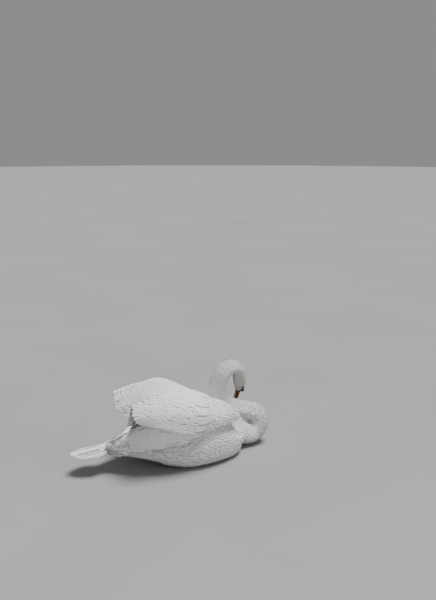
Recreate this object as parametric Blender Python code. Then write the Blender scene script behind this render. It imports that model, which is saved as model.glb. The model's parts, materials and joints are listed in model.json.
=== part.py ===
"""A mute swan at rest on its belly, life size, as a still museum model.

The bird faces +X with its left side to +Y. The wings lie folded and a little arched, the neck is
drawn back in a low S on the left shoulder, and the head hangs from the arch of the neck.
Metres, +Z up, the floor at z = 0.
"""

import math

import bmesh
import bpy
import numpy as np
from mathutils import Vector

# ---------------------------------------------------------------------------------------------
# Driving dimensions, in metres
# ---------------------------------------------------------------------------------------------
GAP = 0.0003  # air left between neighbours that touch
CUT_GROWTH = 0.0004  # how much a cutter is larger than the piece that it makes room for


REST_HEIGHT = 0.018  # height at which the floor flattens the belly, before the bird is set down

HEAD_LENGTH = 0.096
BILL_LENGTH = 0.080
EYE_RADIUS = 0.0062

TAIL_LENGTH = 0.222
TAIL_HALF_WIDTH = 0.056
TAIL_FEATHERS = 22

TARSUS_LENGTH = 0.100
TARSUS_HALF = (0.0065, 0.0095)  # half width and half height of the shank as it lies on its side
MIDDLE_TOE = 0.122
WEB_THICKNESS = 0.004
TOE_HEIGHT = 0.012
TOE_SPREAD = math.radians(22)  # from the middle toe to each outer toe
FOOT_SPREAD = 0.060  # the feet's distance from the midline
FOOT_JOINT_X = 0.040  # where the toes spring from the shank

CREASE_ANGLE = math.radians(42)  # edges that turn more than this stay sharp

COLLECTION = "mute_swan"


# ---------------------------------------------------------------------------------------------
# Small tools
# ---------------------------------------------------------------------------------------------
def smooth(keys, at):
    """Values at the places `at` on a smooth curve through keys, whose first column is the place."""
    keys = np.asarray(keys, float)
    at = np.clip(np.atleast_1d(at), keys[0, 0], keys[-1, 0])
    t, values = keys[:, 0], keys[:, 1:]
    slope = np.gradient(values, t, axis=0)
    i = np.clip(np.searchsorted(t, at, side="right") - 1, 0, len(t) - 2)
    h = (t[i + 1] - t[i])[:, None]
    s = ((at - t[i]) / (t[i + 1] - t[i]))[:, None]
    return (
        (2 * s**3 - 3 * s**2 + 1) * values[i]
        + (s**3 - 2 * s**2 + s) * h * slope[i]
        + (3 * s**2 - 2 * s**3) * values[i + 1]
        + (s**3 - s**2) * h * slope[i + 1]
    )


def along(points, count):
    """`count` places on the smooth curve through points, evenly spaced along it."""
    points = np.asarray(points, float)
    steps = np.r_[0, np.cumsum(np.linalg.norm(np.diff(points[:, :3], axis=0), axis=1))]
    keys = np.column_stack([steps, points])
    fine = smooth(keys, np.linspace(0, steps[-1], 400))
    run = np.r_[0, np.cumsum(np.linalg.norm(np.diff(fine[:, :3], axis=0), axis=1))]
    want = np.linspace(0, run[-1], count)
    return np.column_stack([np.interp(want, run, column) for column in fine.T])


def material(name, colour, roughness):
    found = bpy.data.materials.get(name)
    if found:
        return found
    made = bpy.data.materials.new(name)
    made.use_nodes = True
    shader = made.node_tree.nodes["Principled BSDF"]
    shader.inputs["Base Color"].default_value = (*colour, 1)
    shader.inputs["Roughness"].default_value = roughness
    shader.inputs["Metallic"].default_value = 0
    return made


def plumage():
    return material("white_plumage", (0.86, 0.85, 0.81), 0.75)


def bill_orange():
    return material("bill_orange", (0.78, 0.27, 0.06), 0.4)


def bill_black():
    return material("bill_black", (0.025, 0.022, 0.02), 0.4)


def eye_dark():
    return material("eye_dark", (0.03, 0.018, 0.012), 0.08)


def leg_black():
    return material("leg_black", (0.03, 0.03, 0.03), 0.55)


def add_object(name, bm, finish, is_cutter=False):
    """Puts the bmesh into a named object of the swan, or of the cutters."""
    bmesh.ops.recalc_face_normals(bm, faces=bm.faces)
    mesh = bpy.data.meshes.new(name)
    bm.to_mesh(mesh)
    bm.free()
    obj = bpy.data.objects.new(name, mesh)
    home = bpy.data.collections["cutters" if is_cutter else COLLECTION]
    home.objects.link(obj)
    if is_cutter:
        obj.hide_render = True
        obj.display_type = "WIRE"
    else:
        mesh.materials.append(finish)
    return obj


def loft(rings):
    """A closed bmesh skinned over rings of equally many points.

    Each end is closed by a ladder between the ring's two halves, which also suits a thin curved
    ring whose middle lies outside it.
    """
    bm = bmesh.new()
    rows = [[bm.verts.new(p) for p in ring] for ring in rings]
    count = len(rows[0])
    for a, b in zip(rows, rows[1:]):
        for i in range(count):
            j = (i + 1) % count
            bm.faces.new((a[i], a[j], b[j], b[i]))
    for row in (rows[0], rows[-1]):
        for i in range(count // 2 - 1):
            bm.faces.new((row[i], row[i + 1], row[count - 2 - i], row[count - 1 - i]))
    bmesh.ops.triangulate(bm, faces=bm.faces)
    return bm


def frames(points, up):
    """Tangent and side-to-side-steady normal at each point of a line, starting from `up`."""
    points = np.asarray(points, float)
    tangents = np.gradient(points, axis=0)
    tangents /= np.linalg.norm(tangents, axis=1)[:, None]
    normals = []
    normal = np.asarray(up, float)
    for tangent in tangents:
        normal = normal - tangent * (normal @ tangent)
        normal = normal / np.linalg.norm(normal)
        normals.append(normal)
    return tangents, np.array(normals)


def oval_ring(centre, ahead, up, half_width, rise, fall, count):
    """An oval of points round centre: rise above it, fall below it, half_width to each side."""
    side = np.cross(ahead, up)
    ring = []
    for k in range(count):
        a = 2 * math.pi * k / count
        height = rise if math.sin(a) > 0 else fall
        ring.append(centre + side * half_width * math.cos(a) + up * height * math.sin(a))
    return ring


def evaluated(obj):
    """Applies the object's modifiers to its mesh."""
    graph = bpy.context.evaluated_depsgraph_get()
    mesh = bpy.data.meshes.new_from_object(obj.evaluated_get(graph))
    obj.modifiers.clear()
    obj.data = mesh


def grown(obj, by=CUT_GROWTH):
    """A cutter of obj's shape, `by` larger all round."""
    bm = bmesh.new()
    bm.from_mesh(obj.data)
    bm.normal_update()
    for vert in bm.verts:
        vert.co += vert.normal * by
    return add_object(f"cut_{obj.name}", bm, None, is_cutter=True)


def cut(obj, cutter):
    """Takes the cutter's space out of obj and drops stray crumbs."""
    step = obj.modifiers.new("cut", "BOOLEAN")
    step.operation = "DIFFERENCE"
    step.solver = "EXACT"
    step.object = cutter
    evaluated(obj)
    keep_largest(obj)


def keep_largest(obj):
    """Keeps only the most massive connected body of obj, so that a cut leaves no crumbs."""
    bm = bmesh.new()
    bm.from_mesh(obj.data)
    bmesh.ops.remove_doubles(bm, verts=bm.verts, dist=0.00002)
    bmesh.ops.triangulate(bm, faces=bm.faces)
    left = set(bm.verts)
    bodies = []
    while left:
        seed = left.pop()
        body, edge = {seed}, [seed]
        while edge:
            for link in edge.pop().link_edges:
                for vert in link.verts:
                    if vert not in body:
                        body.add(vert)
                        edge.append(vert)
        left -= body
        faces = {face for vert in body for face in vert.link_faces}
        corners = [[vert.co for vert in face.verts] for face in faces]
        volume = abs(sum(a.dot(b.cross(c)) for a, b, c in corners)) / 6
        bodies.append((volume, body))
    bodies.sort(key=lambda entry: entry[0])
    for _, body in bodies[:-1]:
        bmesh.ops.delete(bm, geom=list(body), context="VERTS")
    bm.to_mesh(obj.data)
    bm.free()


# ---------------------------------------------------------------------------------------------
# Trunk: belly, flanks, breast and rump
# ---------------------------------------------------------------------------------------------
# x, half width, lowest z, height of the widest line, highest z
TRUNK_STATIONS = [
    (-0.285, 0.036, 0.092, 0.106, 0.119),
    (-0.255, 0.058, 0.085, 0.104, 0.124),
    (-0.200, 0.088, 0.074, 0.106, 0.138),
    (-0.130, 0.118, 0.052, 0.107, 0.172),
    (-0.050, 0.150, 0.014, 0.110, 0.222),
    (0.050, 0.168, -0.016, 0.110, 0.250),
    (0.130, 0.163, -0.020, 0.110, 0.245),
    (0.200, 0.143, -0.016, 0.103, 0.205),
    (0.250, 0.117, -0.006, 0.090, 0.160),
    (0.285, 0.084, 0.014, 0.078, 0.124),
    (0.306, 0.045, 0.040, 0.074, 0.100),
]


def belly_ring(x, half_width, low, middle, high, count):
    """A cross-section that is full below, rounder above and flat where it rests on the floor."""
    ring = []
    for k in range(count):
        a = 2 * math.pi * k / count
        c, s = math.cos(a), math.sin(a)
        squareness = 2.0 if s > 0 else 2.5
        y = half_width * math.copysign(abs(c) ** (2 / squareness), c)
        reach = (high - middle) if s > 0 else (middle - low)
        z = middle + reach * math.copysign(abs(s) ** (2 / squareness), s)
        ring.append((x, y, max(z, REST_HEIGHT)))
    return ring


def make_trunk():
    places = np.linspace(TRUNK_STATIONS[0][0], TRUNK_STATIONS[-1][0], 21)
    rows = smooth(TRUNK_STATIONS, places)
    rings = [belly_ring(x, *row, count=24) for x, row in zip(places, rows)]
    return add_object("trunk", loft(rings), plumage())


# ---------------------------------------------------------------------------------------------
# Neck: one bent line, in three lengths
# ---------------------------------------------------------------------------------------------
# x, y, z, half width and half depth, from inside the breast to the back of the head. Where the
# neck folds back on itself, its depth shrinks so that the two arms lie side by side.
NECK_LINE = [
    (0.130, 0.000, 0.140, 0.070, 0.068),
    (0.200, 0.000, 0.124, 0.066, 0.062),
    (0.262, 0.000, 0.097, 0.060, 0.055),
    (0.312, 0.001, 0.073, 0.056, 0.048),
    (0.353, 0.004, 0.064, 0.053, 0.045),
    (0.388, 0.010, 0.078, 0.052, 0.044),
    (0.403, 0.016, 0.113, 0.051, 0.044),
    (0.388, 0.024, 0.148, 0.050, 0.044),
    (0.353, 0.032, 0.162, 0.048, 0.044),
    (0.318, 0.043, 0.169, 0.047, 0.045),
    (0.281, 0.053, 0.183, 0.046, 0.045),
    (0.246, 0.058, 0.210, 0.045, 0.045),
    (0.230, 0.059, 0.252, 0.044, 0.044),
    (0.231, 0.060, 0.297, 0.042, 0.042),
    (0.250, 0.064, 0.336, 0.040, 0.040),
    (0.285, 0.073, 0.354, 0.038, 0.038),
    (0.321, 0.087, 0.346, 0.036, 0.036),
    (0.342, 0.098, 0.327, 0.034, 0.034),
    (0.349, 0.106, 0.305, 0.032, 0.032),
]
NECK_RINGS = 40
NECK_CUTS = {"neck_lower": (0, 13), "neck_middle": (13, 27), "neck_upper": (27, 39)}
NECK_SIDES = 14
FOLD_FILL = 0.014  # how much taller the lower arm grows, to close the fold above it


def neck_frames():
    line = along(NECK_LINE, NECK_RINGS)
    centres, halves = line[:, :3], line[:, 3:]
    ahead, up = frames(centres, (0, 0, 1))
    return centres, halves, ahead, up


def neck_rings(first, last):
    centres, halves, ahead, up = neck_frames()
    rings = []
    bend = NECK_CUTS["neck_lower"][1]
    for i in range(first, last + 1):
        width, depth = halves[i]
        rise = depth + FOLD_FILL * max(0.0, math.sin(math.pi * i / bend)) * (i < bend)
        rings.append(oval_ring(centres[i], ahead[i], up[i], width, rise, depth, NECK_SIDES))
    return rings


def make_neck_length(name):
    """One length of the neck, which stops a gap short of the length before it."""
    first, last = NECK_CUTS[name]
    rings = neck_rings(first, last)
    if first > 0:
        _, _, ahead, _ = neck_frames()
        rings[0] = [corner + ahead[first] * GAP for corner in rings[0]]
    return add_object(name, loft(rings), plumage())


def make_neck_sweep():
    """The neck from its bend to the head in one piece, for cutting what it leans on."""
    first, last = NECK_CUTS["neck_middle"][0], NECK_CUTS["neck_upper"][1]
    return add_object("cut_neck_sweep", loft(neck_rings(first, last)), None, is_cutter=True)


# ---------------------------------------------------------------------------------------------
# Head, bill and eyes
# ---------------------------------------------------------------------------------------------
# distance from the back of the head, rise to the crown, fall to the chin, half width
HEAD_STATIONS = [
    (0.000, 0.0320, 0.0320, 0.0320),
    (0.018, 0.0335, 0.0320, 0.0320),
    (0.038, 0.0330, 0.0305, 0.0315),
    (0.058, 0.0295, 0.0265, 0.0275),
    (0.076, 0.0235, 0.0215, 0.0215),
    (0.090, 0.0175, 0.0180, 0.0170),
    (HEAD_LENGTH, 0.0145, 0.0162, 0.0150),
]
# share of the bill's length, half width, culmen above the gape line
UPPER_BILL = [
    (0.00, 0.0142, 0.0165),
    (0.20, 0.0132, 0.0136),
    (0.45, 0.0130, 0.0096),
    (0.70, 0.0148, 0.0070),
    (0.88, 0.0146, 0.0054),
    (0.97, 0.0100, 0.0038),
    (1.00, 0.0042, 0.0024),
]
LOWER_BILL_DEPTH = 0.0092
HEAD_NOD = math.radians(8)  # how far the head turns down from the line of the neck's end


def head_frame():
    """Origin at the back of the head, then the directions ahead, up to the crown and to the left."""
    centres, _, ahead, up = neck_frames()
    forward = ahead[-1] * math.cos(HEAD_NOD) - up[-1] * math.sin(HEAD_NOD)
    crown = ahead[-1] * math.sin(HEAD_NOD) + up[-1] * math.cos(HEAD_NOD)
    return centres[-1], forward, crown, np.cross(crown, forward)


def make_head():
    origin, forward, crown, _ = head_frame()
    _, _, ahead, up = neck_frames()
    rings = []
    for share in np.linspace(0, 1, 12):
        distance = share * HEAD_LENGTH
        rise, fall, half_width = smooth(HEAD_STATIONS, distance)[0]
        blend = min(1.0, share / 0.25)
        direction = ahead[-1] * (1 - blend) + forward * blend
        top = up[-1] * (1 - blend) + crown * blend
        centre = origin + forward * distance + ahead[-1] * GAP
        rings.append(oval_ring(centre, direction, top, half_width, rise, fall, 16))
    return add_object("head", loft(rings), plumage())


def bill_ring(centre, forward, crown, half_width, rise, fall):
    return oval_ring(centre, forward, crown, half_width, rise, fall, 12)


def make_bill():
    """Upper and lower mandible, parted along the gape, and the knob over the bill's root."""
    origin, forward, crown, left = head_frame()
    root = origin + forward * (HEAD_LENGTH - 0.006) - crown * 0.002
    upper, lower = [], []
    for share in np.linspace(0, 1, 9):
        half_width, culmen = smooth(UPPER_BILL, share)[0]
        centre = root + forward * BILL_LENGTH * share - crown * 0.004 * share
        upper.append(bill_ring(centre, forward, crown, half_width, culmen, 0.0012))
        if share < 0.96:
            depth = LOWER_BILL_DEPTH * (1 - 0.75 * share)
            below = centre - crown * (0.0012 + GAP)
            lower.append(bill_ring(below, forward, crown, half_width * 0.86, 0.0, depth))
    make = [("bill_upper", upper, bill_orange()), ("bill_lower", lower, bill_black())]
    bills = [add_object(name, loft(rings), finish) for name, rings, finish in make]
    bm = bmesh.new()
    bmesh.ops.create_uvsphere(bm, u_segments=10, v_segments=6, radius=1)
    centre = root + crown * 0.0180 + forward * 0.006
    for vert in bm.verts:
        x, y, z = vert.co
        place = centre + forward * x * 0.0115 + left * y * 0.0085 + crown * z * 0.0088
        vert.co = Vector(place)
    bmesh.ops.triangulate(bm, faces=bm.faces)
    return bills, add_object("bill_knob", bm, bill_black())


def make_eyes():
    origin, forward, crown, left = head_frame()
    distance = 0.064
    rise, _, half_width = smooth(HEAD_STATIONS, distance)[0]
    eyes = []
    for name, side in (("eye_left", 1), ("eye_right", -1)):
        bm = bmesh.new()
        bmesh.ops.create_uvsphere(bm, u_segments=8, v_segments=6, radius=EYE_RADIUS)
        centre = origin + forward * distance + crown * rise * 0.30
        centre = centre + left * side * (half_width * 0.955 - EYE_RADIUS * 0.72)
        bmesh.ops.translate(bm, verts=bm.verts, vec=Vector(centre))
        bmesh.ops.triangulate(bm, faces=bm.faces)
        eyes.append(add_object(name, bm, eye_dark()))
    return eyes


# ---------------------------------------------------------------------------------------------
# Wings: two overlapping groups of feathers on each side
# ---------------------------------------------------------------------------------------------
# Each line is x, distance from the midline, z, from the shoulder back to the feather tips.
SCAPULAR_EDGE = [  # the lower edge of the scapulars and tertials
    (0.262, 0.100, 0.180),
    (0.190, 0.140, 0.178),
    (0.100, 0.171, 0.188),
    (0.010, 0.183, 0.192),
    (-0.075, 0.176, 0.222),
    (-0.145, 0.164, 0.246),
    (-0.200, 0.152, 0.256),
]
SCAPULAR_SIDE = [
    (0.272, 0.090, 0.206),
    (0.200, 0.136, 0.226),
    (0.110, 0.162, 0.256),
    (0.015, 0.166, 0.278),
    (-0.075, 0.160, 0.292),
    (-0.145, 0.158, 0.296),
    (-0.210, 0.152, 0.284),
]
CREST_RIGHT = [
    (0.262, 0.065, 0.230),
    (0.190, 0.080, 0.280),
    (0.100, 0.087, 0.312),
    (0.010, 0.095, 0.332),
    (-0.070, 0.105, 0.350),
    (-0.140, 0.118, 0.349),
    (-0.205, 0.130, 0.330),
]
CREST_LEFT = [
    (0.250, 0.070, 0.198),
    (0.180, 0.086, 0.238),
    (0.090, 0.090, 0.286),
    (-0.015, 0.100, 0.340),
    (-0.080, 0.108, 0.332),
    (-0.150, 0.124, 0.308),
    (-0.215, 0.134, 0.284),
]
HOLLOW = [  # half way down the inner face that the two wings turn to each other
    (0.252, 0.046, 0.208),
    (0.185, 0.048, 0.246),
    (0.100, 0.046, 0.284),
    (0.000, 0.050, 0.300),
    (-0.080, 0.064, 0.292),
    (-0.152, 0.084, 0.262),
    (-0.216, 0.104, 0.230),
]
VALLEY = [
    (0.240, 0.030, 0.186),
    (0.180, 0.018, 0.224),
    (0.100, 0.012, 0.258),
    (0.010, 0.012, 0.268),
    (-0.060, 0.022, 0.250),
    (-0.106, 0.035, 0.212),
    (-0.148, 0.050, 0.162),
]
# the lower group: wrist, coverts, secondaries and the folded primaries
BLADE_TOP = [
    (0.135, 0.140, 0.245),
    (0.050, 0.164, 0.270),
    (-0.050, 0.162, 0.276),
    (-0.130, 0.144, 0.268),
    (-0.200, 0.104, 0.222),
    (-0.248, 0.056, 0.166),
    (-0.284, 0.008, 0.138),
]
BLADE_MIDDLE = [
    (0.150, 0.146, 0.210),
    (0.060, 0.176, 0.225),
    (-0.045, 0.176, 0.222),
    (-0.140, 0.155, 0.203),
    (-0.208, 0.118, 0.180),
    (-0.262, 0.064, 0.150),
    (-0.296, 0.020, 0.135),
]
BLADE_EDGE = [
    (0.135, 0.148, 0.165),
    (0.050, 0.176, 0.158),
    (-0.050, 0.170, 0.142),
    (-0.140, 0.142, 0.122),
    (-0.206, 0.104, 0.124),
    (-0.260, 0.064, 0.129),
    (-0.291, 0.031, 0.129),
]
# the left blade lies closer, and its tip crosses the midline under the right one
CROSSED_TOP = [
    (-0.100, 0.134, 0.246),
    (-0.142, 0.086, 0.180),
    (-0.190, 0.026, 0.153),
    (-0.242, -0.018, 0.138),
]
CROSSED_MIDDLE = [
    (-0.110, 0.150, 0.195),
    (-0.156, 0.106, 0.152),
    (-0.205, 0.042, 0.143),
    (-0.252, -0.010, 0.135),
]
CROSSED_EDGE = [
    (-0.110, 0.142, 0.128),
    (-0.156, 0.112, 0.120),
    (-0.205, 0.056, 0.127),
    (-0.246, 0.000, 0.130),
]
BLADE_RIGHT = [BLADE_EDGE, BLADE_MIDDLE, BLADE_TOP]
# the lines that each shell is thickened towards: distance from the midline and z
SCAPULAR_CORE = [
    (0.066, 0.165),
    (0.080, 0.178),
    (0.090, 0.188),
    (0.095, 0.198),
    (0.106, 0.208),
    (0.118, 0.212),
    (0.125, 0.215),
]
BLADE_CORE = [
    (0.09, 0.200),
    (0.10, 0.200),
    (0.10, 0.200),
    (0.09, 0.185),
    (0.06, 0.140),
    (0.03, 0.095),
    (0.01, 0.060),
]
CROSSED_CORE = BLADE_CORE[:3] + [(0.09, 0.160), (0.06, 0.100), (0.02, 0.075), (-0.02, 0.060)]
BLADE_LEFT = [
    BLADE_EDGE[:3] + CROSSED_EDGE,
    BLADE_MIDDLE[:3] + CROSSED_MIDDLE,
    BLADE_TOP[:3] + CROSSED_TOP,
]


THINNEST_SHELL = 0.004


def wrapped_shell(lines, core, side, shares_in, counts, scallops=0, scallop_depth=0.0):
    """A curved shell through guide lines, thickened towards its core line.

    shares_in tell, along the shell, how much of the way to the core it fills. The rear edge is cut
    into rounded feather tips when scallops are asked for.
    """
    along_count, across_count = counts
    places = np.linspace(0, 1, along_count)

    def rail(line):
        return smooth(np.column_stack([np.linspace(0, 1, len(line)), line]), places)

    rails, core_rail = [rail(line) for line in lines], rail(core)
    fill = smooth(shares_in, places)[:, 0]
    shares = np.linspace(0, 1, across_count)
    rings = []
    for i, u in enumerate(places):
        keys = np.column_stack([np.linspace(0, 1, len(rails)), [rail[i] for rail in rails]])
        outer = smooth(keys, shares)
        if scallops:
            lobe = np.abs(np.sin(np.pi * scallops * shares))
            outer[:, 0] -= scallop_depth * lobe * max(0.0, (u - 0.8) / 0.2)
        target = np.column_stack([outer[:, 0], np.tile(core_rail[i], (across_count, 1))])
        inward = target - outer
        distance = np.linalg.norm(inward, axis=1)[:, None]
        inner = outer + inward * np.maximum(fill[i], THINNEST_SHELL / distance)
        ring = np.vstack([outer, inner[::-1]])
        ring[:, 1] *= side
        rings.append(ring)
    return loft(rings)


SCAPULAR_FILL = [(0.0, 0.9), (0.35, 0.9), (0.55, 0.7), (0.75, 0.2), (1.0, 0.05)]
BLADE_FILL = [(0.0, 0.6), (0.35, 0.6), (0.65, 0.2), (1.0, 0.06)]


def make_wing(word, side, crest, blade_lines, blade_core):
    """The upper group, a ridge of scapulars that ends in a fan, and the blade below it."""
    lines = [SCAPULAR_EDGE, SCAPULAR_SIDE, crest, HOLLOW, VALLEY]
    shell = wrapped_shell(lines, SCAPULAR_CORE, side, SCAPULAR_FILL, (16, 15), 7, 0.008)
    upper = add_object(f"wing_{word}_scapulars", shell, plumage())
    shell = wrapped_shell(blade_lines, blade_core, side, BLADE_FILL, (15, 7))
    lower = add_object(f"wing_{word}_blade", shell, plumage())
    return upper, lower


# ---------------------------------------------------------------------------------------------
# Tail
# ---------------------------------------------------------------------------------------------
TAIL_ROOT = (-0.205, 0.118)  # x and z of the tail's middle line at its root
TAIL_TIP_Z = 0.106


def make_tail():
    """A blunt wedge of stiff feathers, thick under its coverts and thin at the tips."""
    root_x, root_z = TAIL_ROOT
    rings = []
    for u in np.linspace(0, 1, 10):
        centre_z = root_z + (TAIL_TIP_Z - root_z) * u
        spread = 0.040 + (TAIL_HALF_WIDTH - 0.040) * math.sin(math.pi / 2 * min(1, u / 0.55))
        thickness = 0.030 * (1 - u) ** 1.6 + 0.0035
        upper, lower = [], []
        for v in np.linspace(-1, 1, 13):
            reach = TAIL_LENGTH * (1 - 0.40 * abs(v) ** 1.6)
            lobe = 0.006 * abs(math.sin(math.pi / 2 * TAIL_FEATHERS / 2 * v)) * u**4
            x = root_x - reach * u - lobe
            z = centre_z - 0.006 * v * v
            upper.append((x, spread * v, z + thickness / 2 * (1 - 0.6 * v * v)))
            lower.append((x, spread * v, z - thickness / 2 * (1 - 0.6 * v * v)))
        rings.append(upper + lower[::-1])
    return add_object("tail", loft(rings), plumage())


# ---------------------------------------------------------------------------------------------
# Legs and feet, folded flat under the belly
# ---------------------------------------------------------------------------------------------
CLAW_REACH = 0.011
ANKLE_SPLAY = 0.014  # how much further from the midline the ankle lies than the toes' joint
SHANK_CLEARANCE = 0.0006
# distance ahead of the toes' joint, half width, height
POCKET_STATIONS = [
    (-0.103, 0.006, 0.0202),
    (-0.097, 0.013, 0.0202),
    (-0.012, 0.012, 0.0202),
    (0.012, 0.016, 0.0202),
    (0.016, 0.018, 0.0135),
    (0.085, 0.045, 0.0115),
    (0.120, 0.046, 0.0105),
    (0.137, 0.020, 0.0095),
]
WEB_NOTCH = 0.82  # how far the web's edge reaches between two toes, as a share of the toes
TOE_COLUMNS = {1: 0.84, 6: 1.0, 11: 0.90}  # column across the foot: share of the middle toe's length
FOOT_COLUMNS = 13


def make_foot(word, side):
    """Three toes and their web on a flat sole, with the claws at the toes' ends."""
    rings = []
    for u in np.linspace(0.08, 1, 6):
        top, sole = [], []
        for column in range(FOOT_COLUMNS):
            turn = (column - 6) / 5 * TOE_SPREAD * side
            toe = TOE_COLUMNS.get(column)
            if toe:
                reach = MIDDLE_TOE * toe * u + CLAW_REACH * u**6
                height = TOE_HEIGHT * (1 - 0.35 * u) * (0.35 if u == 1 else 1)
            else:
                near = min(TOE_COLUMNS, key=lambda c: abs(c - column))
                notch = 1 - (1 - WEB_NOTCH) * min(1.0, abs(column - near) / 2) * u
                reach = MIDDLE_TOE * TOE_COLUMNS[near] * notch * u
                height = WEB_THICKNESS
            x = FOOT_JOINT_X + reach * math.cos(turn)
            y = side * FOOT_SPREAD + reach * math.sin(turn)
            top.append((x, y, REST_HEIGHT + height))
            sole.append((x, y, REST_HEIGHT))
        rings.append(top + sole[::-1])
    return add_object(f"foot_{word}", loft(rings), leg_black())


def make_leg(word, side):
    """The shank, lying on the floor behind the foot, with its ankle at the back."""
    half_width, half_height = TARSUS_HALF
    ahead, up = np.array([1.0, 0.0, 0.0]), np.array([0.0, 0.0, 1.0])
    rings = []
    for u in np.linspace(0, 1, 7):
        swell = 1 + 0.35 * (1 - u) ** 4 - 0.30 * u**3
        height = half_height * min(1.0, swell)
        x = FOOT_JOINT_X - TARSUS_LENGTH * (1 - u) + 0.006
        y = side * (FOOT_SPREAD + ANKLE_SPLAY * (1 - u))
        centre = np.array([x, y, REST_HEIGHT + SHANK_CLEARANCE + height])
        rings.append(oval_ring(centre, ahead, up, half_width * swell, height, height, 10))
    return add_object(f"leg_{word}", loft(rings), leg_black())


def make_foot_pocket(word, side):
    """The room in the belly feathers that a folded leg and foot take up."""
    rings = []
    for ahead, half, height in POCKET_STATIONS:
        x = FOOT_JOINT_X + ahead
        y = side * (FOOT_SPREAD + ANKLE_SPLAY * min(1.0, max(0.0, -ahead / TARSUS_LENGTH)))
        roof = REST_HEIGHT + height
        low = REST_HEIGHT - 0.05
        rings.append([(x, y - half, low), (x, y + half, low), (x, y + half, roof), (x, y - half, roof)])
    return add_object(f"cut_pocket_{word}", loft(rings), None, is_cutter=True)


# ---------------------------------------------------------------------------------------------
# The whole bird
# ---------------------------------------------------------------------------------------------
def empty_scene():
    for obj in list(bpy.data.objects):
        bpy.data.objects.remove(obj)
    for name in (COLLECTION, "cutters"):
        home = bpy.data.collections.new(name)
        bpy.context.scene.collection.children.link(home)


def shade(objects):
    for obj in objects:
        obj.data.shade_smooth()
        obj.data.set_sharp_from_angle(angle=CREASE_ANGLE)


def stand_on_origin(objects):
    """Moves the bird so that its box is centred over the origin and rests on z = 0."""
    corners = np.array([v.co[:] for obj in objects for v in obj.data.vertices])
    low, high = corners.min(axis=0), corners.max(axis=0)
    shift = Vector((-(low[0] + high[0]) / 2, -(low[1] + high[1]) / 2, -low[2]))
    for obj in objects:
        obj.location = shift
    print("moved onto the origin by", [round(c, 5) for c in shift])


def build():
    empty_scene()
    trunk = make_trunk()
    neck = {name: make_neck_length(name) for name in NECK_CUTS}
    head = make_head()
    bills, knob = make_bill()
    eyes = make_eyes()
    tail = make_tail()
    wings = [
        make_wing("right", -1, CREST_RIGHT, BLADE_RIGHT, BLADE_CORE),
        make_wing("left", 1, CREST_LEFT, BLADE_LEFT, CROSSED_CORE),
    ]
    for word, side in (("right", -1), ("left", 1)):
        cut(trunk, make_foot_pocket(word, side))
        foot, leg = make_foot(word, side), make_leg(word, side)
        cut(leg, grown(foot))

    neck_room = grown(make_neck_sweep())
    cut(trunk, neck_room)
    trunk_room = grown(trunk)
    cut(neck["neck_lower"], trunk_room)
    cut(neck["neck_lower"], neck_room)
    cut(tail, trunk_room)
    lower_neck_room = grown(neck["neck_lower"])
    for upper, lower in wings:
        for piece in (upper, lower):
            cut(piece, trunk_room)
            cut(piece, neck_room)
            cut(piece, lower_neck_room)
        cut(lower, grown(upper))
    cut(wings[1][1], grown(wings[0][1]))
    for _, lower in wings:
        cut(tail, grown(lower))
    head_room = grown(head)
    for piece in (*bills, knob):
        cut(piece, head_room)
    cut(knob, grown(bills[0]))
    for eye in eyes:
        cut(head, grown(eye))
    swan = list(bpy.data.collections[COLLECTION].objects)
    shade(swan)
    stand_on_origin(swan)


build()
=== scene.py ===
# %% [markdown]
# # A mute swan at rest
#
# The bird lies on its belly with folded, slightly arched wings. Its neck is drawn back into a low
# S on the left shoulder, and the head hangs from the arch of the neck with the bill pointing down.
# The solids in model.glb fix every size here. This script gives them their looks: one skin,
# a coat of feathers that follows the lie of the plumage, a bare face, a bill, eyes and feet.
#
# Everything is in metres. The bird faces +X, its left side is +Y, and the floor is z = 0.

import json
import math

import bmesh
import bpy
import numpy as np
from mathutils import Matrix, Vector
from mathutils.bvhtree import BVHTree

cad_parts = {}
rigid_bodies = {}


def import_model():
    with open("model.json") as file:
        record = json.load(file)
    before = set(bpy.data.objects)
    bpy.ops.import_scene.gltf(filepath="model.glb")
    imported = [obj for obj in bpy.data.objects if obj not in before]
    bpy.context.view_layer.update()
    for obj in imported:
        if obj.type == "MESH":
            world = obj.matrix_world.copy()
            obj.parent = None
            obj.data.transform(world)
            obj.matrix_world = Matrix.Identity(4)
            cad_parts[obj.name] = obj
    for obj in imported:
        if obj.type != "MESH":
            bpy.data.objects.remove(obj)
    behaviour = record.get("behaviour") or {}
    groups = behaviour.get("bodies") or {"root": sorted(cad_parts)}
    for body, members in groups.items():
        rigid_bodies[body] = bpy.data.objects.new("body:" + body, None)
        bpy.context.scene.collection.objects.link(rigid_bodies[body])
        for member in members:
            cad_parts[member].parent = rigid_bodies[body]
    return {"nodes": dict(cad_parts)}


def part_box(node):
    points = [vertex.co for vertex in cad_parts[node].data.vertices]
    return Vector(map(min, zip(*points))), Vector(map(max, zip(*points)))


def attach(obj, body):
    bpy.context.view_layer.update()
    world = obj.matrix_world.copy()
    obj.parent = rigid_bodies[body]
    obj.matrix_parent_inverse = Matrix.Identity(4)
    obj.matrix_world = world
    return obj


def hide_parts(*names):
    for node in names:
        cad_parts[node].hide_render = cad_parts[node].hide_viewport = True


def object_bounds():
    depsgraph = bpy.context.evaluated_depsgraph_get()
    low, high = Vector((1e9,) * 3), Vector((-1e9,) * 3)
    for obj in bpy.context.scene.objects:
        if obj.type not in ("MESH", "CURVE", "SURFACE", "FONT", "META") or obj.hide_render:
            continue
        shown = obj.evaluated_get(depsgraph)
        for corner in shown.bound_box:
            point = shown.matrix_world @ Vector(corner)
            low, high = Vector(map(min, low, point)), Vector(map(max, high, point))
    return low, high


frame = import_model()
cad_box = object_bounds()
nodes = frame["nodes"]
body_length = cad_box[1].x - cad_box[0].x
print(f"frame: {len(nodes)} nodes, {body_length * 1000:.0f} mm long")

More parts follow.
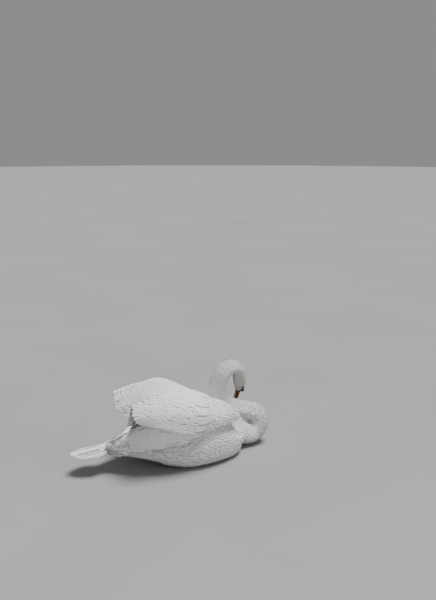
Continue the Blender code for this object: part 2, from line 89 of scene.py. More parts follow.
# %% [markdown]
# ## The bed: where feathers lie
#
# A bird's outline is the outline of its feather tips, and the body under them is slimmer. So the
# solids, which have the true outline, are merged into one closed surface and drawn in by the depth
# of the coat. The feathers are laid on that surface, which is called the bed here. A voxel remesh
# is a good way to merge: it closes the hair-thin gaps between the solids and leaves even faces.

# %% Tools for meshes as arrays
def arrays_of(mesh):
    """Vertex places and unit normals of a mesh, as arrays."""
    count = len(mesh.vertices)
    places, normals = np.empty(count * 3), np.empty(count * 3)
    mesh.vertices.foreach_get("co", places)
    mesh.vertices.foreach_get("normal", normals)
    return places.reshape(-1, 3), normals.reshape(-1, 3)


def edges_of(mesh):
    """The two vertices of every edge."""
    pairs = np.empty(len(mesh.edges) * 2, np.int32)
    mesh.edges.foreach_get("vertices", pairs)
    return pairs.reshape(-1, 2)


def move_to(mesh, places):
    """Put the vertices of a mesh at new places."""
    mesh.vertices.foreach_set("co", places.ravel())
    mesh.update()


def softened(values, pairs, rounds, strength=0.5):
    """Values on vertices, each moved towards the mean of its neighbours, round after round."""
    values = np.array(values, float)
    flat = values.reshape(len(values), -1)
    ends = np.concatenate([pairs[:, 0], pairs[:, 1]])
    others = np.concatenate([pairs[:, 1], pairs[:, 0]])
    share = np.maximum(np.bincount(ends, minlength=len(flat)), 1)
    for _ in range(rounds):
        for k in range(flat.shape[1]):
            mean = np.bincount(ends, flat[others, k], len(flat)) / share
            flat[:, k] += (mean - flat[:, k]) * strength
    return flat.reshape(values.shape)


def ray_tree(mesh, places):
    """A tree of a mesh's triangles, to send rays at and to find nearest places on."""
    mesh.calc_loop_triangles()
    faces = [tuple(triangle.vertices) for triangle in mesh.loop_triangles]
    return BVHTree.FromPolygons(places.tolist(), faces)


def unit(vectors):
    return vectors / np.maximum(np.linalg.norm(vectors, axis=-1, keepdims=True), 1e-9)


def ramp(value, start, end):
    """0 up to start, 1 from end, and a smooth rise between them."""
    t = np.clip((np.asarray(value, float) - start) / (end - start), 0, 1)
    return t * t * (3 - 2 * t)


def bell(value, middle, half):
    """1 at the middle, falling away to both sides."""
    return np.exp(-(((value - middle) / half) ** 2))

# %% Merge the solids that carry plumage
PLUMED = ["trunk", "neck_lower", "neck_middle", "neck_upper", "head", "tail"]
PLUMED += [f"wing_{side}_{part}" for side in ("left", "right") for part in ("scapulars", "blade")]
WELD = 1e-5


def plain_mesh(name, body):
    """A mesh from a bmesh, which is freed."""
    mesh = bpy.data.meshes.new(name)
    body.to_mesh(mesh)
    body.free()
    return mesh


def join(whole, body):
    """Add one bmesh to another."""
    mesh = plain_mesh("joined", body)
    whole.from_mesh(mesh)
    bpy.data.meshes.remove(mesh)


def merged(names, cut_behind=None):
    """The named solids in one bmesh. cut_behind gives, for some, the x behind which they end."""
    whole = bmesh.new()
    for name in names:
        piece = bmesh.new()
        piece.from_mesh(nodes[name].data)
        bmesh.ops.remove_doubles(piece, verts=piece.verts, dist=WELD)
        if cut_behind and name in cut_behind:
            geometry = piece.verts[:] + piece.edges[:] + piece.faces[:]
            plane = (cut_behind[name], 0, 0)
            bmesh.ops.bisect_plane(
                piece, geom=geometry, plane_co=plane, plane_no=(-1, 0, 0), clear_outer=True
            )
            rim = [edge for edge in piece.edges if edge.is_boundary]
            bmesh.ops.holes_fill(piece, edges=rim, sides=0)
        join(whole, piece)
    return whole


def solids_tree(names):
    """A tree of the named solids, to send rays at."""
    whole = merged(names)
    tree = BVHTree.FromBMesh(whole)
    whole.free()
    return tree

# %% One closed surface around them
def add_object(name, mesh):
    thing = bpy.data.objects.new(name, mesh)
    bpy.context.scene.collection.objects.link(thing)
    return thing


def applied(thing):
    """The mesh of an object with its modifiers applied."""
    return bpy.data.meshes.new_from_object(
        thing.evaluated_get(bpy.context.evaluated_depsgraph_get())
    )


def remeshed(name, whole, voxel):
    """A closed surface of even faces around everything in a bmesh."""
    thing = add_object(name, plain_mesh(name, whole))
    modifier = thing.modifiers.new("Merge", "REMESH")
    modifier.mode = "VOXEL"
    modifier.voxel_size = voxel
    modifier.use_smooth_shade = True
    result = applied(thing)
    thing.modifiers.clear()
    thing.data = result
    return thing


bed = remeshed("bed", merged(PLUMED), voxel=0.004)
print(f"bed: {len(bed.data.polygons)} faces")

# %% [markdown]
# ## The lie of the plumage
#
# Feathers point away from the bill: over the crown, down the whole length of the bent neck, over
# the breast and back towards the tail. Wing feathers spring from the shoulder and spread a little.
# Each vertex of the bed gets that direction as an attribute, together with the length of the
# feathers there and the depth of the coat. Geometry Nodes read these attributes later, so the lie
# is worked out once, here.

# %% The head's own directions, from its eyes and bill
def middle_of(name):
    low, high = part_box(name)
    return np.array((low + high) / 2)


def node_places(name):
    return arrays_of(nodes[name].data)[0]


eye_left, eye_right = middle_of("eye_left"), middle_of("eye_right")
between_eyes = (eye_left + eye_right) / 2
left = unit(eye_left - eye_right)
bill_places = node_places("bill_upper")
bill_tip = bill_places[np.argmax(np.linalg.norm(bill_places - between_eyes, axis=1))]
forward = bill_tip - between_eyes
forward = unit(forward - left * (forward @ left))
crown = np.cross(forward, left)
knob = middle_of("bill_knob")
if (knob - between_eyes) @ crown < (bill_tip - between_eyes) @ crown:
    crown = -crown
print("head: forward", np.round(forward, 3), "crown", np.round(crown, 3))

# %% The neck's course
def curve_through(points, count):
    """A smooth line through points, as count places with their directions."""
    keys = np.asarray(points, float)
    steps = np.linalg.norm(np.diff(keys, axis=0), axis=1)
    run = np.concatenate([[0], np.cumsum(steps)])
    slope = np.gradient(keys, run, axis=0)
    at = np.linspace(0, run[-1], count)
    i = np.clip(np.searchsorted(run, at, side="right") - 1, 0, len(run) - 2)
    h = (run[i + 1] - run[i])[:, None]
    s = (at - run[i])[:, None] / h
    line = (2 * s**3 - 3 * s**2 + 1) * keys[i] + (s**3 - 2 * s**2 + s) * h * slope[i]
    line += (3 * s**2 - 2 * s**3) * keys[i + 1] + (s**3 - s**2) * h * slope[i + 1]
    return line, unit(np.gradient(line, axis=0))


NECK_COURSE = [  # the middle of the neck, from the back of the head to inside the breast
    (0.340, 0.106, 0.287),
    (0.312, 0.087, 0.328),
    (0.276, 0.073, 0.336),
    (0.241, 0.064, 0.318),
    (0.222, 0.060, 0.279),
    (0.221, 0.059, 0.234),
    (0.237, 0.058, 0.192),
    (0.272, 0.053, 0.165),
    (0.344, 0.032, 0.144),
    (0.379, 0.024, 0.130),
    (0.394, 0.016, 0.095),
    (0.379, 0.010, 0.060),
    (0.344, 0.004, 0.046),
    (0.253, 0.000, 0.079),
    (0.121, 0.000, 0.122),
]
neck_line, neck_ahead = curve_through(NECK_COURSE, 160)

# %% [markdown]
# ## The face under the feathers
#
# The solids give the head as one plain form. A real head has a ridge over each eye, a shallow
# hollow between eye and bill, a rounded cheek, and lids that stand up around the eyeball like a
# ring. These are pushed into the surface as soft hills and hollows in the head's own directions, on
# the bed and on the skin alike, so that the feathers follow them.

# %% Soft forms of the face
EYE_RADIUS = 0.0060
EYE_SET_IN = 0.0014  # how far the eyeball sits deeper than its solid
LID_OPENING = (0.0051, 0.0042)  # half length and half height of the opening
FACE_FORMS = [  # ahead of the eyes, above them, half length, half height, how far out
    (0.001, 0.0088, 0.010, 0.0034, 0.0012),  # ridge over the eye
    (0.0150, 0.0000, 0.0070, 0.0048, -0.0012),  # hollow between eye and bill
    (0.0010, -0.0150, 0.0120, 0.0080, 0.0010),  # cheek
    (0.0215, -0.0140, 0.0045, 0.0032, 0.0008),  # corner of the gape
    (-0.024, 0.0040, 0.0120, 0.0120, 0.0008),  # jaw muscle behind the eye
]

# %% Push the forms and the lids into a surface
def in_head(places):
    """Places as (ahead of the eyes, above them, to the left)."""
    return (places - between_eyes) @ np.stack([forward, crown, left], axis=1)


def ball_of(side):
    """The middle of an eyeball and the direction that it looks in."""
    away = left * side
    return (eye_left if side > 0 else eye_right) - away * EYE_SET_IN, away


def around_eye(places, side):
    """Along, up and out from the eyeball's middle, and the share of the lid opening."""
    middle, away = ball_of(side)
    local = (places - middle) @ np.stack([forward, crown, away], axis=1)
    share = np.hypot(local[:, 0] / LID_OPENING[0], local[:, 1] / LID_OPENING[1])
    return local, share


def faced(places, normals):
    """Places of a surface with the forms of the face pushed into it."""
    moved = places.copy()
    local = in_head(places)
    for f, c, half_f, half_c, out_by in FACE_FORMS:
        hill = np.exp(-(((local[:, 0] - f) / half_f) ** 2) - ((local[:, 1] - c) / half_c) ** 2)
        hill *= ramp(np.abs(local[:, 2]), 0.006, 0.014) * ramp(-local[:, 0], -0.05, -0.035)
        moved += normals * (hill * out_by)[:, None]
    return moved


LID_HEIGHT = 0.00055  # of the fold round the opening
LID_CREASE = 0.0005  # depth of the crease round that fold
EYE_POCKET = 0.0032  # how far the surface goes back behind the opening


def lidded(places, sunk):
    """Places with the lids raised around both eyeballs. sunk lowers them, for the bed."""
    moved = places.copy()
    for side in (1, -1):
        local, share = around_eye(moved, side)
        flat = np.hypot(local[:, 0], local[:, 1])
        near = (flat < 0.018) & (np.abs(local[:, 2]) < 0.012)
        at_rim = flat / np.maximum(share, 1e-6)
        rim = np.sqrt(np.maximum(EYE_RADIUS**2 - at_rim**2, 0.0))
        fold = LID_HEIGHT * np.sin(math.pi * np.clip((share - 1.0) / 0.35, 0, 1))
        inside = -EYE_POCKET * ramp(1 - share, 0.0, 0.3)
        crease = -LID_CREASE * bell(share, 1.55, 0.13)
        lid = rim + 0.0002 + fold + inside + crease - 0.0007 * np.clip(share - 1.35, 0, 2) - sunk
        blend = ramp(share, 1.25, 3.0)
        height = lid * (1 - blend) + local[:, 2] * blend
        moved += ball_of(side)[1] * ((height - local[:, 2]) * near)[:, None]
    return moved

# %% Finer faces on the head
def refined(mesh, balls):
    """Halve the edges inside each (middle, radius), smoothing the new vertices in."""
    for middle, radius in balls:
        body = bmesh.new()
        body.from_mesh(mesh)
        middle = Vector(middle)
        edges = [e for e in body.edges if all((v.co - middle).length < radius for v in e.verts)]
        bmesh.ops.subdivide_edges(body, edges=edges, cuts=1, use_grid_fill=True)
        body.to_mesh(mesh)
        body.free()
        places, _ = arrays_of(mesh)
        apart = np.linalg.norm(places - np.array(middle), axis=1)
        smooth = softened(places, edges_of(mesh), 3)
        places += (smooth - places) * (1 - ramp(apart, radius * 0.8, radius))[:, None]
        move_to(mesh, places)
    mesh.shade_smooth()


FINE_BALLS = [(between_eyes + forward * 0.005, 0.058), (between_eyes + forward * 0.012, 0.042)]
refined(bed.data, FINE_BALLS)
print(f"bed with a finer face: {len(bed.data.polygons)} faces")

# %% Which solid each vertex of the bed lies under
def nearest_owner(places, names):
    """For each place, the index in names of the solid whose surface is nearest."""
    corners, faces, owners = [], [], []
    start = 0
    for index, name in enumerate(names):
        mesh = nodes[name].data
        mesh.calc_loop_triangles()
        corners += [vert.co.copy() for vert in mesh.vertices]
        faces += [tuple(start + v for v in tri.vertices) for tri in mesh.loop_triangles]
        owners += [index] * len(mesh.loop_triangles)
        start += len(mesh.vertices)
    tree = BVHTree.FromPolygons(corners, faces)
    return np.array([owners[tree.find_nearest(place)[2]] for place in places.tolist()])


bed_places, bed_normals = arrays_of(bed.data)
bed_pairs = edges_of(bed.data)
owner = nearest_owner(bed_places, PLUMED)
owned = {name: owner == index for index, name in enumerate(PLUMED)}
print("bed vertices by solid:", {name: int(mask.sum()) for name, mask in owned.items()})

# %% How far down the neck each vertex is
def nearest_on_neck(places):
    apart = places[:, None, :] - neck_line[None, :, :]
    return np.argmin((apart**2).sum(axis=2), axis=1)


on_neck = owned["neck_lower"] | owned["neck_middle"] | owned["neck_upper"]
neck_index = nearest_on_neck(bed_places[on_neck])
neck_share = np.where(owned["head"], 0.0, 1.0)
neck_share[on_neck] = neck_index / (len(neck_line) - 1)
print(f"neck: {np.linalg.norm(np.diff(neck_line, axis=0), axis=1).sum() * 1000:.0f} mm along its middle")

# %% Direction of the feathers at each vertex
SHOULDER_SOURCE = (0.600, 0.120, 0.100)  # scapulars spread from here, mirrored for the right wing
BLADE_CONVERGE = 0.060  # how far behind its tip the feathers of the folded blade meet


def blade_tip(side):
    solid = node_places(f"wing_{side}_blade")
    return solid[np.argmin(solid[:, 0])]


def lie_of(places):
    """The way that feathers point at each place, before it is laid on the surface."""
    lie = np.tile((-1.0, 0.0, 0.0), (len(places), 1))
    lie[:, 2] = -0.8 * ramp(places[:, 0], 0.08, 0.28) * owned["trunk"]
    lie[owned["head"]] = -forward
    lie[on_neck] = neck_ahead[neck_index]
    for side, sign in (("left", 1), ("right", -1)):
        mine = owned[f"wing_{side}_scapulars"]
        source = np.array(SHOULDER_SOURCE) * (1, sign, 1)
        lie[mine] = unit(places[mine] - source)
        mine = owned[f"wing_{side}_blade"]
        lie[mine] = unit(blade_tip(side) - (BLADE_CONVERGE, 0, 0) - places[mine])
    return lie


def on_surface(vectors, normals):
    return unit(vectors - normals * (vectors * normals).sum(axis=1, keepdims=True))


lie = on_surface(lie_of(bed_places), bed_normals)
for _ in range(6):
    lie = on_surface(softened(lie, bed_pairs, 3), bed_normals)

# %% Fluff over the front and the lower edge of the folded wings
# A resting swan tucks the bend of each wing under its breast and flank feathers. There the creases
# between wing and body are filled, and the fluffy body feathers run on over the wing.
FLUFF_TOP = [  # x, and the height below which the fluff covers the wing
    (-0.175, 0.060), (-0.130, 0.092), (-0.083, 0.135), (0.0, 0.138), (0.055, 0.146),
    (0.088, 0.185), (0.104, 0.260), (0.112, 0.400),
]
FLUFF_EDGE = 0.012  # width of its soft border


def fluff_share(places):
    """1 inside the fluff, 0 on the open wing."""
    x, y, z = places[..., 0], places[..., 1], places[..., 2]
    heights, levels = zip(*FLUFF_TOP)
    waves = 0.006 * np.sin(x * 95) + 0.004 * np.sin(x * 173 + y * 40)
    top = np.interp(x, heights, levels) + waves
    return ramp(top - z, -FLUFF_EDGE / 2, FLUFF_EDGE / 2) * ramp(x, -0.19, -0.17)


def filled(places, mesh, share, rounds):
    """Places with the hollows filled where share is 1, by smoothing that only moves outwards."""
    pairs = edges_of(mesh)
    for _ in range(rounds):
        move_to(mesh, places)
        _, normals = arrays_of(mesh)
        for _ in range(6):
            pull = ((softened(places, pairs, 1) - places) * normals).sum(axis=1)
            places = places + normals * (np.maximum(pull, 0) * share)[:, None]
    return places

# %% Length of the feathers and depth of the coat at each vertex
def table_of(rows, share):
    """Values read off a few rows of (share, value)."""
    places, values = zip(*rows)
    return np.interp(share, places, values)


HEAD_LENGTHS = [(-0.05, 0.009), (0.0, 0.0075), (0.04, 0.005)]  # by distance ahead of the eyes
NECK_LENGTHS = [(0.0, 0.009), (0.25, 0.014), (0.6, 0.020), (1.0, 0.032)]  # by share of the neck
TRUNK_LENGTHS = [(-0.30, 0.036), (-0.22, 0.044), (-0.05, 0.052), (0.1, 0.046), (0.30, 0.034)]  # by x
SCAPULAR_LENGTHS = [(-0.22, 0.085), (0.0, 0.065), (0.15, 0.045), (0.26, 0.030)]
BLADE_LENGTHS = [(-0.28, 0.080), (-0.05, 0.060), (0.13, 0.034)]
RING_RADIUS = 0.0066  # of the bare ring round each eye, which no feather may cover
NEAR_EYE = 0.012
COAT_DEPTHS = {"head": 0.0022, "neck_upper": 0.0036, "neck_middle": 0.0044, "neck_lower": 0.0052,
               "trunk": 0.0068, "tail": 0.0020}
WING_DEPTH = 0.0055



def depths_of(owners):
    """The depth of the coat at each vertex, from the solid that it lies under."""
    depths = np.full(len(owners), WING_DEPTH)
    for name, depth in COAT_DEPTHS.items():
        depths[owners == PLUMED.index(name)] = depth
    return depths


ahead_of_eyes = (bed_places - between_eyes) @ forward
feather_long = table_of(TRUNK_LENGTHS, bed_places[:, 0])
feather_long[owned["head"]] = table_of(HEAD_LENGTHS, ahead_of_eyes[owned["head"]])
feather_long[on_neck] = table_of(NECK_LENGTHS, neck_share[on_neck])
coat_depth = depths_of(owner)
for side in ("left", "right"):
    for part, rows in (("scapulars", SCAPULAR_LENGTHS), ("blade", BLADE_LENGTHS)):
        mine = owned[f"wing_{side}_{part}"]
        feather_long[mine] = table_of(rows, bed_places[mine, 0])
fluffy = fluff_share(bed_places) * ramp(bed_places[:, 0], 0.05, 0.11) * ~owned["head"] * ~on_neck
feather_long = feather_long * (1 - 0.3 * fluffy)
feather_long = softened(feather_long, bed_pairs, 12)
for side in (1, -1):
    local, _ = around_eye(bed_places, side)
    clear = np.hypot(local[:, 0], local[:, 1]) - RING_RADIUS
    near = (clear < NEAR_EYE) & (np.abs(local[:, 2]) < NEAR_EYE)
    for mask, extra, shortest in ((local[:, 0] > 0, 0.0, 0.0032), (local[:, 0] <= 0, 0.005, 0.0045)):
        at_eye = near & mask  # feathers ahead of the eye lie towards it, and those behind lie away
        room = np.clip(clear[at_eye] + extra, shortest, 1)
        feather_long[at_eye] = np.minimum(feather_long[at_eye], room)
print(f"feathers {feather_long.min() * 1000:.0f} to {feather_long.max() * 1000:.0f} mm long")

# %% Fill the creases under the fluff
# a neck that lies on the wing stays as it is, and so do the head and the tail
can_fill = owned["trunk"] | owned["neck_lower"]
for side in ("left", "right"):
    can_fill |= owned[f"wing_{side}_scapulars"] | owned[f"wing_{side}_blade"]
fill_share = fluff_share(bed_places) * softened(can_fill.astype(float), bed_pairs, 4)
fill_share *= ramp(bed_places[:, 2], 0.020, 0.045)
before = bed_places.copy()
bed_places = filled(bed_places, bed.data, fill_share, rounds=9)
evened = softened(bed_places, bed_pairs, 14)
bed_places += (evened - bed_places) * fill_share[:, None]
move_to(bed.data, bed_places)
_, bed_normals = arrays_of(bed.data)
lie = on_surface(softened(lie, bed_pairs, 6), bed_normals)
print(f"creases filled by up to {np.linalg.norm(bed_places - before, axis=1).max() * 1000:.0f} mm")

# %% Draw the bed in by the depth of the coat
THIN_SHARE = 0.30  # of a thin fan, how much of its thickness the coat may take on each side


def room_inside(mesh, places, normals, reach):
    """How thick the body is under each vertex, up to reach."""
    tree = ray_tree(mesh, places)
    room = np.full(len(places), reach)
    for index, (place, normal) in enumerate(zip(places, normals)):
        start = Vector(place - normal * 2e-4)
        hit = tree.ray_cast(start, Vector(-normal), reach)
        if hit[0] is not None:
            room[index] = hit[3]
    return room


room = room_inside(bed.data, bed_places, bed_normals, reach=0.03)
coat_depth = np.minimum(softened(coat_depth, bed_pairs, 16), room * THIN_SHARE)
coat_depth = softened(coat_depth, bed_pairs, 6)
drawn_in = softened(bed_places - bed_normals * coat_depth[:, None], bed_pairs, 2)
drawn_in = lidded(faced(drawn_in, bed_normals), sunk=-0.0004)
move_to(bed.data, drawn_in)
bed_places, bed_normals = arrays_of(bed.data)
print(f"coat {coat_depth.min() * 1000:.1f} to {coat_depth.max() * 1000:.1f} mm deep")

# %% [markdown]
# ## An unwrap for the coat
#
# When the model is exported, colours are baked into a picture, and thousands of feathers can't
# each have a part of it to themselves. So every feather gets a tiny patch at the place where its
# root lies on an unwrap of the body. The unwrap is made on a coarse copy of the bed, which is
# quick, and the bed's corners take their coordinates from it.

# %% Unwrap a coarse copy and hand its coordinates to the bed
def unwrapped_copy(thing, voxel):
    whole = bmesh.new()
    whole.from_mesh(thing.data)
    guide = remeshed("guide", whole, voxel)
    bpy.context.view_layer.objects.active = guide
    guide.select_set(True)
    bpy.ops.object.mode_set(mode="EDIT")
    bpy.ops.mesh.select_all(action="SELECT")
    bpy.ops.uv.smart_project(angle_limit=math.radians(66), island_margin=0.004)
    bpy.ops.object.mode_set(mode="OBJECT")
    return guide


guide = unwrapped_copy(bed, voxel=0.012)
islands = guide.data.uv_layers.active
print(f"guide: {len(guide.data.polygons)} faces unwrapped as {islands.name}")
islands.name = "unwrap"

# %% [markdown]
# ## Vanes: what one feather is made of
#
# A feather is a shaft with a vane on each side. Small body feathers need only a few faces, because
# there are thousands of them: a roof-shaped top with its ridge on the shaft, and an under side that
# meets it along the rim, so each vane is a thin closed solid. Every kind comes in a few variants
# with frayed rims. A vane is made one long and one wide, and scaled where it is used. Its attribute
# "place" remembers where each vertex was on it: along, across and up.

# %% Make the kinds of vane
VARIANTS = 4


def vane_width(s, root, shoulder, tip):
    """Half width at the share s of the length, from the root's width to a rounded tip."""
    if s <= shoulder:
        return root + (1 - root) * math.sin(math.pi / 2 * s / shoulder) ** 0.9
    t = (s - shoulder) / (1 - shoulder)
    return max(0.0, 1 - t**tip) ** (1 / tip)


def make_vane(name, rows, ribs, root=0.35, shoulder=0.6, tip=2.2, fray=0.08, lean=0.0, seed=0):
    """A closed vane of rows along the shaft and ribs of vertices on each side of it."""
    chance = np.random.default_rng(seed)
    vane = bmesh.new()
    stations = [1 - (1 - k / (rows - 1)) ** 1.8 for k in range(rows)]
    top, under = [], []
    for s in stations[:-1]:
        half = vane_width(s, root, shoulder, tip)
        line = []
        for k in range(-ribs, ribs + 1):
            t = k / ribs
            y = half * t * (1 + lean * math.copysign(1, t))
            if abs(k) == ribs:
                y *= 1 - fray * chance.random() * (s > 0.15)
            z = 1 - abs(t) ** 1.6 + 0.25 * (k == 0) * (1 - s)
            x = s + 0.03 * chance.standard_normal() * (abs(k) == ribs) * fray * 8
            line.append(vane.verts.new((x, y, z)))
        top.append(line)
        under.append([line[0], vane.verts.new((s, 0, 0.45 * (1 - 0.4 * s))), line[-1]])
    point = vane.verts.new((1, 0, 0.55))
    for a, b in zip(top, top[1:]):
        for k in range(2 * ribs):
            vane.faces.new((a[k], b[k], b[k + 1], a[k + 1]))
    for a, b in zip(under, under[1:]):
        for k in range(2):
            vane.faces.new((a[k], a[k + 1], b[k + 1], b[k]))
    for k in range(2 * ribs):
        vane.faces.new((top[-1][k], point, top[-1][k + 1]))
    for k in range(2):
        vane.faces.new((under[-1][k], under[-1][k + 1], point))
    first = top[0]
    vane.faces.new(first + [under[0][1]])
    bmesh.ops.recalc_face_normals(vane, faces=vane.faces)
    bmesh.ops.triangulate(vane, faces=vane.faces)
    mesh = plain_mesh(name, vane)
    mesh.shade_smooth()
    place = mesh.attributes.new("place", "FLOAT_VECTOR", "POINT")
    corners = np.array([vert.co[:] for vert in mesh.vertices], np.float32)
    place.data.foreach_set("vector", corners.ravel())
    return mesh


KINDS = {
    "plush": dict(rows=4, ribs=1, root=0.6, shoulder=0.45, tip=1.5, fray=0.10),
    "down": dict(rows=5, ribs=1, root=0.5, shoulder=0.5, tip=1.7, fray=0.10),
    "contour": dict(rows=8, ribs=2, root=0.45, shoulder=0.55, tip=2.0, fray=0.16),
    "covert": dict(rows=11, ribs=2, root=0.45, shoulder=0.62, tip=2.2, fray=0.06),
    "quill": dict(rows=18, ribs=3, root=0.4, shoulder=0.72, tip=1.9, fray=0.04, lean=0.18),
}
vane_sets = {}
for kind, shape in KINDS.items():
    vane_sets[kind] = bpy.data.collections.new(f"vanes_{kind}")
    for number in range(VARIANTS):
        mesh = make_vane(f"vane_{kind}_{number}", seed=number, **shape)
        vane_sets[kind].objects.link(bpy.data.objects.new(mesh.name, mesh))
    print(f"{kind}: {len(mesh.polygons)} triangles each")

# %% [markdown]
# ## Geometry Nodes that lay vanes on the bed
#
# One node group does the laying for every coat. It puts a vane on each root, points it along the
# lie with its top outwards, makes the copies real, and then settles each vertex at its own height
# over the bed: under it at the root, and at the depth of the coat at the tip, so that each vane
# covers the roots of those behind it like a roof tile. Two passes of the settling are enough on a
# rounded body. Then the rim of a vane is bent round the body's edges, what would go through the
# floor is pressed flat on it, and the last step writes the patch for baking.

# %% Helpers for node trees
def put(tree, kind, feed=None, **settings):
    """A node with its settings, whose inputs are fed with values or linked to other sockets."""
    node = tree.nodes.new(kind)
    for name, value in settings.items():
        setattr(node, name, value)
    for key, value in (feed or {}).items():
        if isinstance(key, int):
            socket = node.inputs[key]
        else:
            socket = next(s for s in node.inputs if s.enabled and s.name == key)
        if isinstance(value, bpy.types.NodeSocket):
            tree.links.new(value, socket)
        else:
            socket.default_value = value
    return node


def out(node, name=None):
    """The first working output of a node, or the one with that name."""
    return next(s for s in node.outputs if s.enabled and name in (None, s.name))


def made(tree, kind, feed=None, **settings):
    """The first working output of a new node."""
    return out(put(tree, kind, feed, **settings))


def maths(tree, operation, *values):
    return made(tree, "ShaderNodeMath", dict(enumerate(values)), operation=operation)


def times(tree, first, second):
    return maths(tree, "MULTIPLY", first, second)


def plus(tree, first, second):
    return maths(tree, "ADD", first, second)


def minus(tree, first, second):
    return maths(tree, "SUBTRACT", first, second)


def vectors(tree, operation, *values):
    feed = {0: values[0], "Scale": values[1]} if operation == "SCALE" else dict(enumerate(values))
    return made(tree, "ShaderNodeVectorMath", feed, operation=operation)


def named(tree, name, data_type="FLOAT"):
    """The value of a named attribute."""
    return made(tree, "GeometryNodeInputNamedAttribute", {"Name": name}, data_type=data_type)


def named_vector(tree, name):
    return named(tree, name, "FLOAT_VECTOR")


def keep(tree, geometry, name, value, data_type="FLOAT", domain="POINT"):
    """Geometry with a value stored under a name."""
    feed = {"Geometry": geometry, "Name": name, "Value": value}
    return made(tree, "GeometryNodeStoreNamedAttribute", feed, data_type=data_type, domain=domain)


def new_tree(name, inputs, outputs=None, kind="GeometryNodeTree"):
    """An empty tree with the sockets that it is given and those that take its result.

    inputs are name: (socket type, default or None), and outputs are name: socket type.
    """
    tree = bpy.data.node_groups.new(name, kind)
    for label, (socket_kind, default) in inputs.items():
        socket = tree.interface.new_socket(
            label, in_out="INPUT", socket_type=f"NodeSocket{socket_kind}")
        if default is not None:
            socket.default_value = default
    for label, socket_kind in (outputs or {"Geometry": "Geometry"}).items():
        tree.interface.new_socket(label, in_out="OUTPUT", socket_type=f"NodeSocket{socket_kind}")
    given, result = tree.nodes.new("NodeGroupInput"), tree.nodes.new("NodeGroupOutput")
    return tree, given.outputs, result.inputs

# %% The node group: a vane on each root, and how high it should lie
PATCH = 0.003  # across, on the unwrap
WRAP = 0.8  # how far a vane bends round an edge of the bed, 1 for fully
FLOOR_GAP = 0.0003  # the bird's weight presses the belly feathers flat on the floor
ROOT_SIZES = ("long", "wide", "thick", "lift", "sink", "roll", "bend", "cling")
ROOT_VALUES = ("lay", "out", "pick") + ROOT_SIZES  # what every root carries


def nearest_on(tree, bed, position):
    return out(put(tree, "GeometryNodeProximity", {"Geometry": bed, "Sample Position": position},
                   target_element="FACES"), "Position")


def sampled(tree, mesh, value, position):
    """A vector of a mesh at the place on it that is nearest to a position."""
    feed = {"Mesh": mesh, "Value": value, "Sample Position": position}
    return made(tree, "GeometryNodeSampleNearestSurface", feed, data_type="FLOAT_VECTOR")


def moved_by(tree, geometry, **feed):
    """Geometry with its points moved, by Offset or to Position."""
    return made(tree, "GeometryNodeSetPosition", {"Geometry": geometry, **feed})


def vanes_on_roots(tree, given, here):
    """A vane on each root, turned and scaled as the root says, with the copies made real."""
    roots = keep(tree, given["Roots"], "root", here, "FLOAT_VECTOR")
    vanes = made(tree, "GeometryNodeCollectionInfo", {
        "Collection": given["Vanes"], "Separate Children": True, "Reset Children": True})
    turn = made(tree, "FunctionNodeAxesToRotation", {
        "Primary Axis": named_vector(tree, "lay"), "Secondary Axis": named_vector(tree, "out")},
        primary_axis="X", secondary_axis="Z")
    size = made(tree, "ShaderNodeCombineXYZ", {
        "X": named(tree, "long"), "Y": named(tree, "wide"), "Z": named(tree, "thick")})
    placed = made(tree, "GeometryNodeInstanceOnPoints", {
        "Points": roots, "Instance": vanes, "Pick Instance": True,
        "Instance Index": named(tree, "pick", "INT"), "Rotation": turn, "Scale": size})
    return made(tree, "GeometryNodeRealizeInstances", {"Geometry": placed})


def height_over_bed(tree, step):
    """How high each vertex of a vane should be: it rises from root to tip, and its sides bend down."""
    place = put(tree, "ShaderNodeSeparateXYZ", {"Vector": named_vector(tree, "place")}).outputs
    left_over = minus(tree, 1.0, place["X"])
    settled = minus(tree, 1.0, times(tree, left_over, left_over))
    ramped = times(tree, minus(tree, place["X"], settled), step)
    rise = times(tree, named(tree, "lift"), plus(tree, settled, ramped))
    relief = times(tree, named(tree, "thick"), place["Z"])
    tilt = times(tree, named(tree, "roll"), place["Y"])
    droop = times(tree, named(tree, "bend"), times(tree, place["Y"], place["Y"]))
    sunk = plus(tree, named(tree, "sink"), droop)
    return minus(tree, plus(tree, plus(tree, rise, relief), tilt), sunk)

# %% The node group: settle, bend and press
def settled_vanes(tree, vanes, bed, here, height):
    """Vanes whose vertices are at their heights, bent round edges and pressed flat on the floor."""
    outwards, cling = named_vector(tree, "out"), named(tree, "cling")
    nearest = nearest_on(tree, bed, here)
    for _ in range(2):
        above = vectors(tree, "DOT_PRODUCT", vectors(tree, "SUBTRACT", here, nearest), outwards)
        missing = times(tree, minus(tree, height, above), cling)
        vanes = moved_by(tree, vanes, Offset=vectors(tree, "SCALE", outwards, missing))
    facing = sampled(tree, bed, made(tree, "GeometryNodeInputNormal"), here)
    agreeing = vectors(tree, "DOT_PRODUCT", facing, outwards)
    trusted = maths(tree, "GREATER_THAN", agreeing, 0.5)
    wanted = vectors(tree, "ADD", nearest, vectors(tree, "SCALE", facing, height))
    pull = times(tree, times(tree, cling, trusted), WRAP)
    shift = vectors(tree, "SCALE", vectors(tree, "SUBTRACT", wanted, here), pull)
    vanes = moved_by(tree, vanes, Offset=shift)
    return moved_by(tree, vanes, Position=vectors(tree, "MAXIMUM", here, (-10, -10, FLOOR_GAP)))

